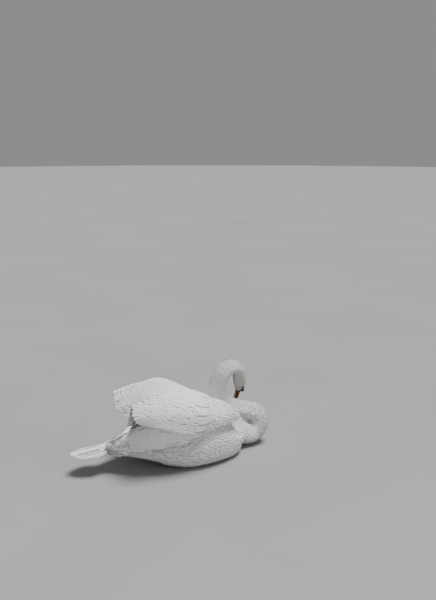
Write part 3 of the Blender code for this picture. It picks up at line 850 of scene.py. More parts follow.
# %% The node group: patches for baking, and the whole
def patched_vanes(tree, vanes, guide_mesh, patch):
    """Vanes with the map OFBake, on which each is a small patch at its root's place."""
    where = sampled(tree, guide_mesh, named_vector(tree, "unwrap"), named_vector(tree, "root"))
    flat = vectors(tree, "MULTIPLY_ADD", named_vector(tree, "place"), (1, 0.5, 0), (-0.5, 0, 0))
    spot = vectors(tree, "ADD", where, vectors(tree, "SCALE", flat, patch))
    patched = keep(tree, vanes, "OFBake", spot, "FLOAT2", "CORNER")
    for name in ROOT_VALUES + ("root", "depth", "tract", "unwrap"):
        patched = made(tree, "GeometryNodeRemoveAttribute", {"Geometry": patched, "Name": name})
    return patched


def lay_vanes_tree():
    """Vanes laid on roots, which carry the values named above."""
    tree, given, result = new_tree("Lay vanes", {
        "Roots": ("Geometry", None),
        "Bed": ("Geometry", None),
        "Guide": ("Geometry", None),
        "Vanes": ("Collection", None),
        "Step": ("Float", 0.5),
        "Patch": ("Float", PATCH),
        "Material": ("Material", None),
    })
    here = made(tree, "GeometryNodeInputPosition")
    vanes = vanes_on_roots(tree, given, here)
    height = height_over_bed(tree, given["Step"])
    vanes = settled_vanes(tree, vanes, given["Bed"], here, height)
    vanes = patched_vanes(tree, vanes, given["Guide"], given["Patch"])
    feed = {"Geometry": vanes, "Material": given["Material"]}
    tree.links.new(made(tree, "GeometryNodeSetMaterial", feed), result["Geometry"])
    return tree


lay_vanes = lay_vanes_tree()
print(f"{lay_vanes.name}: {len(lay_vanes.nodes)} nodes")

# %% The tree that scatters a coat over one tract of the bed
def between(tree, low, high, seed, data_type="FLOAT"):
    feed = {"Min": low, "Max": high, "Seed": seed}
    return made(tree, "FunctionNodeRandomValue", feed, data_type=data_type)


def varied(tree, value, spread, seed):
    """A value times a random number between 1 - spread and 1 + spread."""
    return times(tree, value, between(tree, 1 - spread, 1 + spread, seed))


def mesh_of(tree, given, label):
    """The mesh of the object that an input holds."""
    return out(put(tree, "GeometryNodeObjectInfo", {"Object": given[label]}), "Geometry")


def lay_with(tree, given, roots, bed):
    feed = {label: given[label] for label in ("Vanes", "Step", "Material")}
    feed.update(Roots=roots, Bed=bed, Guide=mesh_of(tree, given, "Guide"))
    return made(tree, "GeometryNodeGroup", feed, node_tree=lay_vanes)


DENSEST = 4e5  # roots in a square metre, far more than the spacing lets through
COAT_INPUTS = {
    "Geometry": ("Geometry", None),
    "Bed": ("Object", None),
    "Guide": ("Object", None),
    "Vanes": ("Collection", None),
    "Step": ("Float", 0.5),
    "Material": ("Material", None),
}


def scattered_coat_tree():
    tree, given, result = new_tree("Scattered coat", {
        **COAT_INPUTS,
        "Tract": ("Int", 0),
        "Spacing": ("Float", 0.01),
        "Length share": ("Float", 1.0),
        "Width share": ("Float", 0.2),
        "Thickness": ("Float", 0.0012),
        "Lift share": ("Float", 0.8),
        "Ruffle": ("Float", 0.1),
        "Seed": ("Int", 1),
    })
    bed_mesh = mesh_of(tree, given, "Bed")
    here = made(tree, "FunctionNodeCompare",
                {"A": named(tree, "tract", "INT"), "B": given["Tract"]},
                data_type="INT", operation="EQUAL")
    feed = {"Mesh": bed_mesh, "Selection": here, "Distance Min": given["Spacing"],
            "Density Max": DENSEST, "Seed": given["Seed"]}
    roots = out(put(tree, "GeometryNodeDistributePointsOnFaces", feed,
                    distribute_method="POISSON"), "Points")
    long, depth = named(tree, "long"), named(tree, "depth")
    lay, outwards = named_vector(tree, "lay"), named_vector(tree, "out")
    sizes = {  # the base of each value, what it is multiplied by, its spread and its seed
        "long": (long, "Length share", 0.14, 1),
        "wide": (long, "Width share", 0.12, 2),
        "thick": (1.0, "Thickness", 0.2, 3),
        "lift": (depth, "Lift share", 0.2, 4),
    }
    for name, (base, label, spread, seed) in sizes.items():
        size = times(tree, base, given[label])
        roots = keep(tree, roots, name, varied(tree, size, spread, seed))
    roots = keep(tree, roots, "sink", times(tree, depth, 0.3))
    rolled = times(tree, depth, between(tree, -0.08, 0.08, 5))
    roots = keep(tree, roots, "roll", rolled)
    stray = times(tree, given["Ruffle"], between(tree, -1.0, 1.0, 6))
    aside = vectors(tree, "CROSS_PRODUCT", outwards, lay)
    turned = vectors(tree, "ADD", lay, vectors(tree, "SCALE", aside, stray))
    roots = keep(tree, roots, "lay", turned, "FLOAT_VECTOR")
    roots = keep(tree, roots, "cling", 1.0)
    roots = keep(tree, roots, "pick", between(tree, 0, VARIANTS - 1, 7, "INT"), "INT")
    tree.links.new(lay_with(tree, given, roots, bed_mesh), result["Geometry"])
    return tree


scattered_coat = scattered_coat_tree()
print(f"{scattered_coat.name}: {len(scattered_coat.nodes)} nodes")

# %% [markdown]
# ## Where nothing grows
#
# Feathers can't grow everywhere. The face is bare between eye and bill, and thin fans get feathers
# in rows later. The pockets in which the feet lie stay clear, or vanes would stand in them like
# walls. On the rump a feather ends before it would run into a wing or the tail, and where only a
# stump would fit, none grows. So each vertex of the bed gets the number of its tract: one for each
# solid, one more for the breast, and -1 where nothing grows.

# %% Where the face is bare
def bare_share(places):
    """1 where the face is bare and black, 0 where it is feathered."""
    local = in_head(places)
    ahead, above, aside = local[:, 0], local[:, 1], np.abs(local[:, 2])
    upper = np.interp(ahead, (0.002, 0.010, 0.020, 0.030), (0.0012, 0.0042, 0.0110, 0.0200))
    lower = np.interp(ahead, (0.002, 0.012, 0.024, 0.030), (-0.0016, -0.0055, -0.0125, -0.0160))
    lores = ramp(upper - above, 0.0, 0.0012) * ramp(above - lower, 0.0, 0.0012)
    lores *= ramp(ahead, 0.002, 0.005) * ramp(aside, 0.003, 0.006)
    lores *= np.linalg.norm(local, axis=1) < 0.048
    bare = lores
    for side in (1, -1):
        near, share = around_eye(places, side)
        bare = np.maximum(bare, (1 - ramp(share, 1.42, 1.66)) * (np.abs(near[:, 2]) < 0.010))
    return bare

# %% Give the bed its lie and its depth
def give(mesh, name, values, data_type="FLOAT"):
    """Store a value for each vertex of a mesh under a name."""
    field = "vector" if data_type == "FLOAT_VECTOR" else "value"
    number = np.int32 if data_type == "INT" else np.float32
    attribute = mesh.attributes.new(name, data_type, "POINT")
    attribute.data.foreach_set(field, np.asarray(values, number).ravel())


bed_lay = on_surface(lie, bed_normals)
give(bed.data, "lay", bed_lay, "FLOAT_VECTOR")
give(bed.data, "out", bed_normals, "FLOAT_VECTOR")
give(bed.data, "depth", coat_depth)

# %% Find the pockets of the feet
POCKET_REACH = 0.075  # a foot's pocket is walled in within this distance, on three sides or more
POCKET_TOP = 0.05
LIMB_CLEAR = 0.018  # no feathers grow this near to the hidden part of a leg
LIMB_BOX = (0.03, 0.06)  # that part lies behind this x and under this height
SIDEWAYS = [Vector(way) for way in ((1, 0, 0), (-1, 0, 0), (0, 1, 0), (0, -1, 0))]

bed_tree = BVHTree.FromObject(bed, bpy.context.evaluated_depsgraph_get())
limb_tree = solids_tree(["leg_left", "leg_right", "foot_left", "foot_right"])
low_down = owned["trunk"] & (bed_places[:, 2] < POCKET_TOP) & (bed_normals[:, 2] < 0.8)
in_pocket = np.zeros(len(bed_places), bool)
for index in np.flatnonzero(low_down):
    start = Vector(bed_places[index] + bed_normals[index] * 0.001)
    hits = [bed_tree.ray_cast(start, way, POCKET_REACH)[0] for way in SIDEWAYS]
    in_pocket[index] = sum(hit is not None for hit in hits) >= 3
by_limb = owned["trunk"] & (bed_places[:, 0] < LIMB_BOX[0]) & (bed_places[:, 2] < LIMB_BOX[1])
for index in np.flatnonzero(by_limb):
    in_pocket[index] |= limb_tree.find_nearest(Vector(bed_places[index]))[3] < LIMB_CLEAR
print(f"in the foot pockets: {in_pocket.sum()} vertices")

# %% End the rump's feathers before the wings and the tail
RUMP_FROM = -0.06  # the rump lies behind this x
SHORTEST_RUMP = 0.009
WING_CLEAR = ((-0.18, -0.12), (0.010, 0.005))  # by x, how near to a wing the feathers grow
ALONG_VANE = (0.003, 0.009)  # heights over the bed at which a vane could run into something

obstacle_tree = solids_tree([name for name in PLUMED if name.startswith(("wing", "tail"))])
rump = np.flatnonzero(owned["trunk"] & (bed_places[:, 0] < RUMP_FROM) & ~in_pocket)
crowded = np.zeros(len(bed_places), bool)
for index in rump:
    free = feather_long[index]
    for height in ALONG_VANE:
        start = Vector(bed_places[index] + bed_normals[index] * height)
        distance = obstacle_tree.ray_cast(start, Vector(bed_lay[index]), free)[3]
        free = min(free, distance or free)
    feather_long[index] = free
    clear = np.interp(bed_places[index, 0], *WING_CLEAR)
    touching = obstacle_tree.find_nearest(Vector(bed_places[index]))[3] < clear
    crowded[index] = free < SHORTEST_RUMP or touching
print(f"too near to a wing or the tail: {crowded.sum()} vertices")

# %% Number the tracts
BARE_TRACT = -1  # no feathers are scattered here
TRUNK_TRACT = PLUMED.index("trunk")
BREAST_TRACT = len(PLUMED)  # the trunk's feathers grow as two pieces, split at this x
BREAST_FROM = 0.040
THIN_BODY = 0.012
FLUFF_FROM_MIDLINE = 0.060

tract = owner.copy()
tract[bare_share(bed_places) > 0.7] = BARE_TRACT
tract[owned["trunk"] & (room < THIN_BODY)] = BARE_TRACT
tract[in_pocket | crowded] = BARE_TRACT
for side in ("left", "right"):
    for part in ("scapulars", "blade"):
        mine = owned[f"wing_{side}_{part}"] & (fluff_share(bed_places) > 0.5)
        tract[mine & (np.abs(bed_places[:, 1]) > FLUFF_FROM_MIDLINE)] = TRUNK_TRACT
tract[(tract == TRUNK_TRACT) & (bed_places[:, 0] > BREAST_FROM)] = BREAST_TRACT
give(bed.data, "tract", tract, "INT")
give(bed.data, "long", feather_long)
print("tracts:", {int(number): int(size) for number, size in zip(*np.unique(tract, return_counts=True))})

# %% [markdown]
# ## Finishes
#
# White plumage isn't one flat white. Each feather has a pale shaft and barbs that run slantwise to its
# rim, its root is painted greyer as painted shade from its neighbours, and the head and neck of a wild
# swan carry a faint rusty stain from feeding. All of it is computed from where a point lies on its
# feather and on the bird. What several finishes share, such as mottling and grain, is a node group.

# %% Helpers for shader nodes
TURN = 6.2832  # one full turn


def shader_group(name, inputs, outputs):
    return new_tree(name, inputs, outputs, "ShaderNodeTree")


def use_group(tree, group, **feed):
    """The outputs of a group that is fed with values or sockets."""
    return put(tree, "ShaderNodeGroup", feed, node_tree=group).outputs


def mixed(tree, share, first, second):
    feed = {"Factor": share, "A": first, "B": second}
    return made(tree, "ShaderNodeMix", feed, data_type="RGBA")


def stretched(tree, value, low, high):
    """Where a value lies between low and high, as a smooth share from 0 to 1."""
    feed = {"Value": value, "From Min": low, "From Max": high}
    return made(tree, "ShaderNodeMapRange", feed, interpolation_type="SMOOTHSTEP")


def rest_of(tree, value):
    """1 minus a value."""
    return minus(tree, 1.0, value)


def blended(tree, share, first, second):
    """A number between two others."""
    feed = {"Factor": share, "A": first, "B": second}
    return made(tree, "ShaderNodeMix", feed, data_type="FLOAT")


def noise(tree, where, scale, detail):
    feed = {"Vector": where, "Scale": scale, "Detail": detail}
    return out(put(tree, "ShaderNodeTexNoise", feed), "Fac")


def frayed(tree, where, mask, scale, detail, amount):
    """A mask whose border is frayed by noise."""
    off = minus(tree, noise(tree, where, scale, detail), 0.5)
    return plus(tree, mask, times(tree, off, amount))


def bumped(tree, height, strength, distance, normal=None):
    feed = {"Height": height, "Strength": strength, "Distance": distance}
    if normal:
        feed["Normal"] = normal
    return made(tree, "ShaderNodeBump", feed)


def attribute_of(tree, name, output="Fac"):
    return out(put(tree, "ShaderNodeAttribute", attribute_name=name), output)


def waves(tree, value, step):
    """A sine whose period is step."""
    return maths(tree, "SINE", times(tree, value, TURN / step))

# %% The groups that several finishes share
def make_mottle():
    """Two colours mixed by soft noise, and the noise itself."""
    tree, given, result = shader_group(
        "Mottle",
        {"Vector": ("Vector", None), "Scale": ("Float", 10.0), "First": ("Color", None),
         "Second": ("Color", None), "Share": ("Float", 0.5)},
        {"Color": "Color", "Tone": "Float"})
    cloud = noise(tree, given["Vector"], given["Scale"], 4.0)
    tone = stretched(tree, cloud, 0.35, 0.65)
    share = times(tree, tone, given["Share"])
    colour = mixed(tree, share, given["First"], given["Second"])
    tree.links.new(colour, result["Color"])
    tree.links.new(tone, result["Tone"])
    return tree


def make_grain():
    """Fine bumps of rounded cells with noise over them, as on leathery skin and horn."""
    tree, given, result = shader_group(
        "Grain",
        {"Vector": ("Vector", None), "Scale": ("Float", 1000.0), "Cells": ("Float", 0.5),
         "Depth": ("Float", 0.0002)},
        {"Normal": "Vector", "Height": "Float"})
    where, scale = given["Vector"], given["Scale"]
    cells = put(tree, "ShaderNodeTexVoronoi", {"Vector": where, "Scale": scale}, feature="SMOOTH_F1")
    rough = noise(tree, where, times(tree, scale, 0.6), 3.0)
    domes = rest_of(tree, out(cells, "Distance"))
    height = blended(tree, given["Cells"], rough, domes)
    normal = bumped(tree, height, 1.0, given["Depth"])
    tree.links.new(normal, result["Normal"])
    tree.links.new(height, result["Height"])
    return tree


def make_barbs():
    """Barbs and shaft of one feather from its place: along, across and up."""
    tree, given, result = shader_group(
        "Barbs", {"Place": ("Vector", None), "Count": ("Float", 60.0)},
        {"Height": "Float", "Shaft": "Float", "Root": "Float"})
    parts = put(tree, "ShaderNodeSeparateXYZ", {"Vector": given["Place"]}).outputs
    side = maths(tree, "ABSOLUTE", parts["Y"])
    slant = minus(tree, parts["X"], times(tree, side, 0.28))
    shaken = times(tree, noise(tree, given["Place"], 7.0, 3.0), 5.0)
    phase = plus(tree, times(tree, slant, given["Count"]), shaken)
    shaft = rest_of(tree, stretched(tree, side, 0.03, 0.10))
    ridge = times(tree, shaft, 1.5)
    height = plus(tree, times(tree, waves(tree, phase, 1.0), 0.35), ridge)
    # how near a point is to the feather's root, where the plumage paints it greyer as painted shade
    root = rest_of(tree, stretched(tree, parts["X"], 0.10, 0.75))
    tree.links.new(height, result["Height"])
    tree.links.new(shaft, result["Shaft"])
    tree.links.new(root, result["Root"])
    return tree


mottle, grain, barbs = make_mottle(), make_grain(), make_barbs()


def new_finish(name, **uniform):
    """A material with its shader's uniform values set on the shader's own sockets."""
    material = bpy.data.materials.new(name)
    material.use_nodes = True
    shader = material.node_tree.nodes["Principled BSDF"]
    for label, value in uniform.items():
        shader.inputs[label.replace("_", " ")].default_value = value
    return material, material.node_tree, shader


def on_bird(tree):
    return out(put(tree, "ShaderNodeTexCoord"), "Object")


def mottled(tree, where, scale, first, second, share):
    return use_group(
        tree, mottle, Vector=where, Scale=scale, First=first, Second=second, Share=share)


def grained(tree, where, scale, cells, depth):
    return use_group(tree, grain, Vector=where, Scale=scale, Cells=cells, Depth=depth)


def wire(tree, shader, **sockets):
    """Link what varies over the surface to the shader's own sockets."""
    for label, socket in sockets.items():
        tree.links.new(socket, shader.inputs[label.replace("_", " ")])

# %% Plumage
WHITE = (0.84, 0.84, 0.82, 1)
COOL_WHITE = (0.76, 0.775, 0.79, 1)
# painted shade: each feather's root is painted towards this grey, where its neighbours would shade it;
# the down on the skin is mottled with it too
SHADE_AND_DOWN_GREY = (0.60, 0.60, 0.60, 1)
SHAFT_CREAM = (0.80, 0.77, 0.70, 1)
STAIN = (0.66, 0.50, 0.30, 1)
SOIL = (0.45, 0.42, 0.37, 1)
STAINED_AT = tuple(between_eyes - forward * 0.01 + crown * 0.005)
STAIN_REACH = 0.16


def make_plumage():
    material, tree, shader = new_finish(
        "white plumage", Roughness=0.72, Specular_IOR_Level=0.25, Sheen_Weight=0.12, Sheen_Roughness=0.5,
        Subsurface_Weight=0.12, Subsurface_Scale=0.004, Subsurface_Radius=(0.8, 0.8, 0.8))
    where = on_bird(tree)
    feather = use_group(tree, barbs, Place=attribute_of(tree, "place", "Vector"), Count=46.0)
    white = mottled(tree, where, 16.0, WHITE, COOL_WHITE, 0.8)
    # painted shade: each feather is painted greyer towards its root, where the vanes over it would shade
    # it
    colour = mixed(tree, times(tree, feather["Root"], 0.25),
                   white["Color"], SHADE_AND_DOWN_GREY)
    colour = mixed(tree, times(tree, feather["Shaft"], 0.5), colour, SHAFT_CREAM)
    apart = vectors(tree, "DISTANCE", where, STAINED_AT)
    patches = noise(tree, where, 60.0, 5.0)
    near = rest_of(tree, stretched(tree, apart, 0.02, STAIN_REACH))
    stain = times(tree, near, stretched(tree, patches, 0.30, 0.75))
    colour = mixed(tree, times(tree, stain, 0.30), colour, STAIN)
    high = put(tree, "ShaderNodeSeparateXYZ", {"Vector": where})
    low = rest_of(tree, stretched(tree, high.outputs["Z"], 0.004, 0.045))
    soil = times(tree, low, stretched(tree, patches, 0.35, 0.70))
    colour = mixed(tree, times(tree, soil, 0.35), colour, SOIL)
    wire(tree, shader, Base_Color=colour,
         Normal=bumped(tree, feather["Height"], 0.55, 0.00025))
    return material


plumage = make_plumage()

# %% Skin: white down, and black leather where it is bare
BARE_BLACK = (0.012, 0.011, 0.011, 1)
BARE_GREY = (0.035, 0.032, 0.030, 1)


def make_skin_surface():
    material, tree, shader = new_finish("skin and down", Specular_IOR_Level=0.3)
    where = on_bird(tree)
    down = mottled(tree, where, 220.0, WHITE, SHADE_AND_DOWN_GREY, 0.7)
    leather = mottled(tree, where, 500.0, BARE_BLACK, BARE_GREY, 0.8)
    border = frayed(tree, where, attribute_of(tree, "bare"), 900.0, 2.0, 0.5)
    bare = stretched(tree, border, 0.35, 0.65)
    pores = grained(tree, where, 1300.0, 0.7, 0.00022)
    colour = mixed(tree, bare, down["Color"], leather["Color"])
    wire(tree, shader, Base_Color=colour, Roughness=blended(tree, bare, 0.85, 0.42),
         Normal=pores["Normal"])
    return material


skin_surface = make_skin_surface()

# %% Bill: orange horn with black trim
ORANGE = (0.80, 0.200, 0.020, 1)
DEEP_ORANGE = (0.62, 0.110, 0.012, 1)
HORN_BLACK = (0.010, 0.009, 0.009, 1)
HORN_GREY = (0.035, 0.031, 0.029, 1)
COMB_STEP = 1.15  # millimetres between the fine combs along the cutting edge


def make_bill_surface():
    material, tree, shader = new_finish("bill horn", Specular_IOR_Level=0.5, Coat_Weight=0.12,
                                        Coat_Roughness=0.25)
    where = on_bird(tree)
    orange = mottled(tree, where, 130.0, ORANGE, DEEP_ORANGE, 0.75)
    horn = mottled(tree, where, 260.0, HORN_BLACK, HORN_GREY, 0.8)
    border = frayed(tree, where, attribute_of(tree, "black"), 420.0, 3.0, 0.7)
    black = stretched(tree, border, 0.38, 0.62)
    colour = mixed(tree, black, orange["Color"], horn["Color"])
    pores = grained(tree, where, 700.0, 0.35, 0.00010)
    combs = waves(tree, attribute_of(tree, "along"), COMB_STEP)
    band = rest_of(tree, stretched(tree, attribute_of(tree, "above"), 0.6, 1.4))
    normal = bumped(tree, times(tree, combs, band), 0.8, 0.00025,
                    pores["Normal"])
    wire(tree, shader, Base_Color=colour, Normal=normal,
         Roughness=blended(tree, pores["Height"], 0.30, 0.48))
    return material


bill_surface = make_bill_surface()

# %% Eye: pupil, iris and the dark edge of the cornea
PUPIL = 1.7  # millimetres from the axis
IRIS = 4.3
IRIS_BROWN = (0.060, 0.026, 0.011, 1)
IRIS_DARK = (0.018, 0.008, 0.004, 1)


def make_eye_surface():
    material, tree, shader = new_finish("eye gloss", Roughness=0.12, Specular_IOR_Level=0.5,
                                        Coat_Weight=1.0, Coat_Roughness=0.02)
    fibres = mottled(tree, on_bird(tree), 1500.0, IRIS_BROWN, IRIS_DARK, 0.8)
    from_axis = attribute_of(tree, "from_axis")
    inside = stretched(tree, from_axis, PUPIL, PUPIL + 0.25)
    outside = stretched(tree, from_axis, IRIS - 0.5, IRIS)
    colour = mixed(tree, inside, HORN_BLACK, fibres["Color"])
    wire(tree, shader, Base_Color=mixed(tree, outside, colour, HORN_BLACK))
    return material


eye_surface = make_eye_surface()

# %% Legs, webs and claws
LEG_BLACK = (0.016, 0.016, 0.017, 1)
LEG_GREY = (0.050, 0.050, 0.052, 1)
SCUTE_STEP = 1.9  # millimetres between the broad plates on top of toes and shank


def make_leg_surface():
    material, tree, shader = new_finish("scaly leg", Specular_IOR_Level=0.4)
    where = on_bird(tree)
    tone = mottled(tree, where, 150.0, LEG_BLACK, LEG_GREY, 0.9)
    scales = grained(tree, where, 520.0, 0.85, 0.00055)
    dust = times(tree, stretched(tree, scales["Height"], 0.55, 0.30), 0.4)
    colour = mixed(tree, dust, tone["Color"], LEG_GREY)
    colour = mixed(tree, attribute_of(tree, "claw"), colour, HORN_BLACK)
    rings = maths(tree, "ABSOLUTE", waves(tree, attribute_of(tree, "along"), 2 * SCUTE_STEP))
    plates = times(tree, rings, attribute_of(tree, "ridge"))
    wire(tree, shader, Base_Color=colour,
         Roughness=blended(tree, tone["Tone"], 0.42, 0.62),
         Normal=bumped(tree, plates, 0.9, 0.00045, scales["Normal"]))
    return material


leg_surface = make_leg_surface()
print("finishes:", [m.name for m in (plumage, skin_surface, bill_surface, eye_surface, leg_surface)])

# %% [markdown]
# ## The coats of small feathers
#
# Six coats cover head, neck, breast and trunk. They come from one tree that is run with different
# values: short plush close together on the head, down on the neck, and contour feathers that lie
# over one another like tiles on the body. A modifier's inputs are set by their identifiers before
# its object is first evaluated, and the result is kept as a plain mesh.

# %% Run a tree on an object and keep the plain mesh
def set_inputs(modifier, values):
    for item in modifier.node_group.interface.items_tree:
        if item.item_type == "SOCKET" and item.in_out == "INPUT" and item.name in values:
            modifier[item.identifier] = values[item.name]


def grow(name, tree, values, roots=None):
    """A coat piece: the tree's result as a plain mesh in its own object."""
    coat = add_object(name, roots or bpy.data.meshes.new(name))
    modifier = coat.modifiers.new("Coat", "NODES")
    modifier.node_group = tree
    set_inputs(modifier, values)
    mesh = applied(coat)
    coat.modifiers.clear()
    coat.data = mesh
    mesh.name = name
    print(f"{name}: {len(mesh.polygons)} triangles")
    return coat

# %% Grow the coats
COAT_STEP = 0.25  # how evenly a small feather rises, 0 for early and 1 for evenly
COATS = {  # tract: spacing, length, width, thickness, lift, ruffle, kind of vane
    "head": (0.00125, 1.1, 0.160, 0.00012, 0.38, 0.08, "plush"),
    "neck_upper": (0.0024, 1.25, 0.185, 0.00014, 0.36, 0.06, "down"),
    "neck_middle": (0.0027, 1.25, 0.190, 0.00016, 0.36, 0.06, "down"),
    "neck_lower": (0.0034, 1.25, 0.195, 0.00020, 0.42, 0.06, "down"),
    "breast": (0.0074, 1.2, 0.195, 0.00030, 0.60, 0.08, "contour"),
    "trunk": (0.0082, 1.1, 0.195, 0.00030, 0.60, 0.08, "contour"),
}
TRACT_NUMBERS = {name: index for index, name in enumerate(PLUMED)}
TRACT_NUMBERS["breast"] = BREAST_TRACT
for tract, (spacing, length, width, thickness, lift, ruffle, kind) in COATS.items():
    grow(f"coat_{tract}", scattered_coat, {
        "Bed": bed, "Guide": guide, "Vanes": vane_sets[kind], "Tract": TRACT_NUMBERS[tract],
        "Spacing": spacing, "Length share": length, "Width share": width, "Thickness": thickness,
        "Lift share": lift, "Ruffle": ruffle, "Step": COAT_STEP, "Material": plumage})

# %% [markdown]
# ## The wings: feathers in rows
#
# Wing feathers don't lie anyhow. They stand in rows across the wing, each row over the roots of the
# next, small at the shoulder and long at the rear, where their tips make the wing's edge. So each
# part of a wing has a net: a few lines across it, from the shoulder to the tips. A place on the
# wing is then a distance along and a share across, and a row is a loop over the shares. The places
# are dropped onto the solid, so the rows have exactly its shape.

# %% Nets across the wings
# Each line across is a list of (x, distance from the midline, z). A scapular line goes from the
# outer edge over the side, the crest and the inner face to the valley between the wings.
SCAPULAR_NET = [
    [(0.253, 0.100, 0.162), (0.263, 0.090, 0.188), (0.253, 0.065, 0.212), (0.243, 0.046, 0.190),
     (0.231, 0.030, 0.168)],
    [(0.091, 0.171, 0.170), (0.101, 0.162, 0.238), (0.091, 0.087, 0.294), (0.091, 0.046, 0.266),
     (0.091, 0.012, 0.240)],
    [(-0.084, 0.176, 0.204), (-0.084, 0.160, 0.274), (-0.079, 0.105, 0.332),
     (-0.089, 0.064, 0.274), (-0.069, 0.022, 0.232)],
    [(-0.209, 0.152, 0.238), (-0.219, 0.152, 0.266), (-0.214, 0.130, 0.312),
     (-0.225, 0.104, 0.212), (-0.157, 0.050, 0.144)],
]
LEFT_CREST = [(0.241, 0.070, 0.180), (0.081, 0.090, 0.268), (-0.089, 0.108, 0.314),
              (-0.224, 0.134, 0.266)]
# A blade line goes from the lower edge over the middle to the top.
BLADE_NET = [
    [(0.126, 0.148, 0.147), (0.141, 0.146, 0.192), (0.126, 0.140, 0.227)],
    [(-0.059, 0.170, 0.124), (-0.054, 0.176, 0.204), (-0.059, 0.162, 0.258)],
    [(-0.215, 0.104, 0.106), (-0.217, 0.118, 0.162), (-0.209, 0.104, 0.204)],
    [(-0.300, 0.031, 0.111), (-0.305, 0.020, 0.117), (-0.293, 0.008, 0.120)],
]
CROSSED_ENDS = [  # the left blade's last two lines: its tip crosses the midline under the right one
    [(-0.165, 0.112, 0.102), (-0.165, 0.106, 0.134), (-0.151, 0.086, 0.162)],
    [(-0.255, 0.000, 0.112), (-0.261, -0.010, 0.117), (-0.251, -0.018, 0.120)],
]


def net_of(side, part):
    lines = [list(line) for line in (SCAPULAR_NET if part == "scapulars" else BLADE_NET)]
    if side == "left" and part == "scapulars":
        for line, crest in zip(lines, LEFT_CREST):
            line[2] = crest
    if side == "left" and part == "blade":
        lines[2:] = CROSSED_ENDS
    sign = 1 if side == "left" else -1
    return np.array(lines) * (1, sign, 1)

# %% The surface that a wing's feathers lie on
def wing_surface(side):
    """Both parts of a wing merged and smoothed, with the crease on the outer face filled."""
    parts = [f"wing_{side}_scapulars", f"wing_{side}_blade"]
    surface = remeshed(f"sheet_{side}", merged(parts), voxel=0.0028)
    places, _ = arrays_of(surface.data)
    places = softened(places, edges_of(surface.data), 4)
    outer = ramp(np.abs(places[:, 1]), 0.09, 0.13) * ramp(places[:, 0], -0.28, -0.22)
    places = filled(places, surface.data, outer, rounds=9)
    move_to(surface.data, places)
    return surface

# %% Places on a wing by two shares
RIDGE_DEPTH = 0.007  # what lies less than this under a row's highest point counts as its crest


class WingSheet:
    """Places on one part of a wing, by the share along it and the share across it."""

    STEPS = (45, 33)  # lines of the grid along the wing and across it

    def __init__(self, side, part, surface):
        self.name = f"wing_{side}_{part}"
        self.sign = 1 if side == "left" else -1
        self.tree = ray_tree(surface.data, arrays_of(surface.data)[0])
        lines = [curve_through(line, self.STEPS[1])[0] for line in net_of(side, part)]
        runs = [curve_through([line[k] for line in lines], self.STEPS[0])[0]
                for k in range(self.STEPS[1])]
        self.grid = np.stack(runs, axis=1)
        self.drop(0.020)
        for _ in range(5):
            self.relax()
            self.drop(0.006)
        self.widths = np.linalg.norm(np.diff(self.grid, axis=1), axis=2).sum(axis=1)
        heights = self.grid[:, :, 2]
        top = heights.max(axis=1, keepdims=True)
        weights = ramp(heights, top - RIDGE_DEPTH, top)
        highest = weights @ np.linspace(0, 1, self.STEPS[1]) / weights.sum(axis=1)
        self.crests = np.convolve(np.pad(highest, 3, mode="edge"), np.full(7, 1 / 7), mode="valid")
        middle = self.grid[:, self.STEPS[1] // 2]
        self.length = np.linalg.norm(np.diff(middle, axis=0), axis=1).sum()

    def normals(self):
        along, across = np.gradient(self.grid, axis=0), np.gradient(self.grid, axis=1)
        return unit(np.cross(along, across)) * self.sign

    def drop(self, from_above):
        """Drop the grid onto the surface along its own normals."""
        away = self.normals()
        for i in range(self.STEPS[0]):
            for j in range(self.STEPS[1]):
                place, up = Vector(self.grid[i, j]), Vector(away[i, j])
                hit = self.tree.ray_cast(place + up * from_above, -up, from_above * 2)[0]
                if hit is None:
                    hit = self.tree.find_nearest(place + up * 0.004)[0]
                self.grid[i, j] = hit

    def relax(self):
        """Even out the grid, keeping its two ends and two edges where they are."""
        inner = (self.grid[:-2, 1:-1] + self.grid[2:, 1:-1]
                 + self.grid[1:-1, :-2] + self.grid[1:-1, 2:]) / 4
        self.grid[1:-1, 1:-1] += (inner - self.grid[1:-1, 1:-1]) * 0.6

    def on_solid(self, along, across):
        """The place on the outer face, and the normal of the grid there."""
        u = np.clip(along, 0, 1) * (self.STEPS[0] - 1)
        v = np.clip(across, 0, 1) * (self.STEPS[1] - 1)
        i, j = min(int(u), self.STEPS[0] - 2), min(int(v), self.STEPS[1] - 2)
        corners = self.grid[i:i + 2, j:j + 2]
        a, b = u - i, v - j
        place = (corners[0, 0] * (1 - a) * (1 - b) + corners[1, 0] * a * (1 - b)
                 + corners[0, 1] * (1 - a) * b + corners[1, 1] * a * b)
        ahead = corners[1].sum(axis=0) - corners[0].sum(axis=0)
        aside = corners[:, 1].sum(axis=0) - corners[:, 0].sum(axis=0)
        return place, unit(np.cross(ahead, aside)) * self.sign

    def width(self, along):
        return np.interp(along, np.linspace(0, 1, self.STEPS[0]), self.widths)

    def crest(self, along):
        """The share across at which the wing is highest."""
        return np.interp(along, np.linspace(0, 1, self.STEPS[0]), self.crests)

# %% The tree for feathers in rows, and the roots that it reads
ROW_STEP = 0.35


def rows_tree():
    """Vanes on the roots that the object itself holds as vertices."""
    tree, given, result = new_tree("Rows of feathers", COAT_INPUTS)
    laid = lay_with(tree, given, given["Geometry"], mesh_of(tree, given, "Bed"))
    tree.links.new(laid, result["Geometry"])
    return tree


rows_of_feathers = rows_tree()


def roots_mesh(name, roots):
    """Vertices that carry what the laying group reads. roots is a list of dicts of values."""
    mesh = bpy.data.meshes.new(name)
    mesh.from_pydata([tuple(root["place"]) for root in roots], [], [])
    for key in ("lay", "out"):
        give(mesh, key, [root[key] for root in roots], "FLOAT_VECTOR")
    for key in ROOT_SIZES:
        give(mesh, key, [root.get(key, 0.0) for root in roots])
    give(mesh, "pick", [root["pick"] for root in roots], "INT")
    return mesh


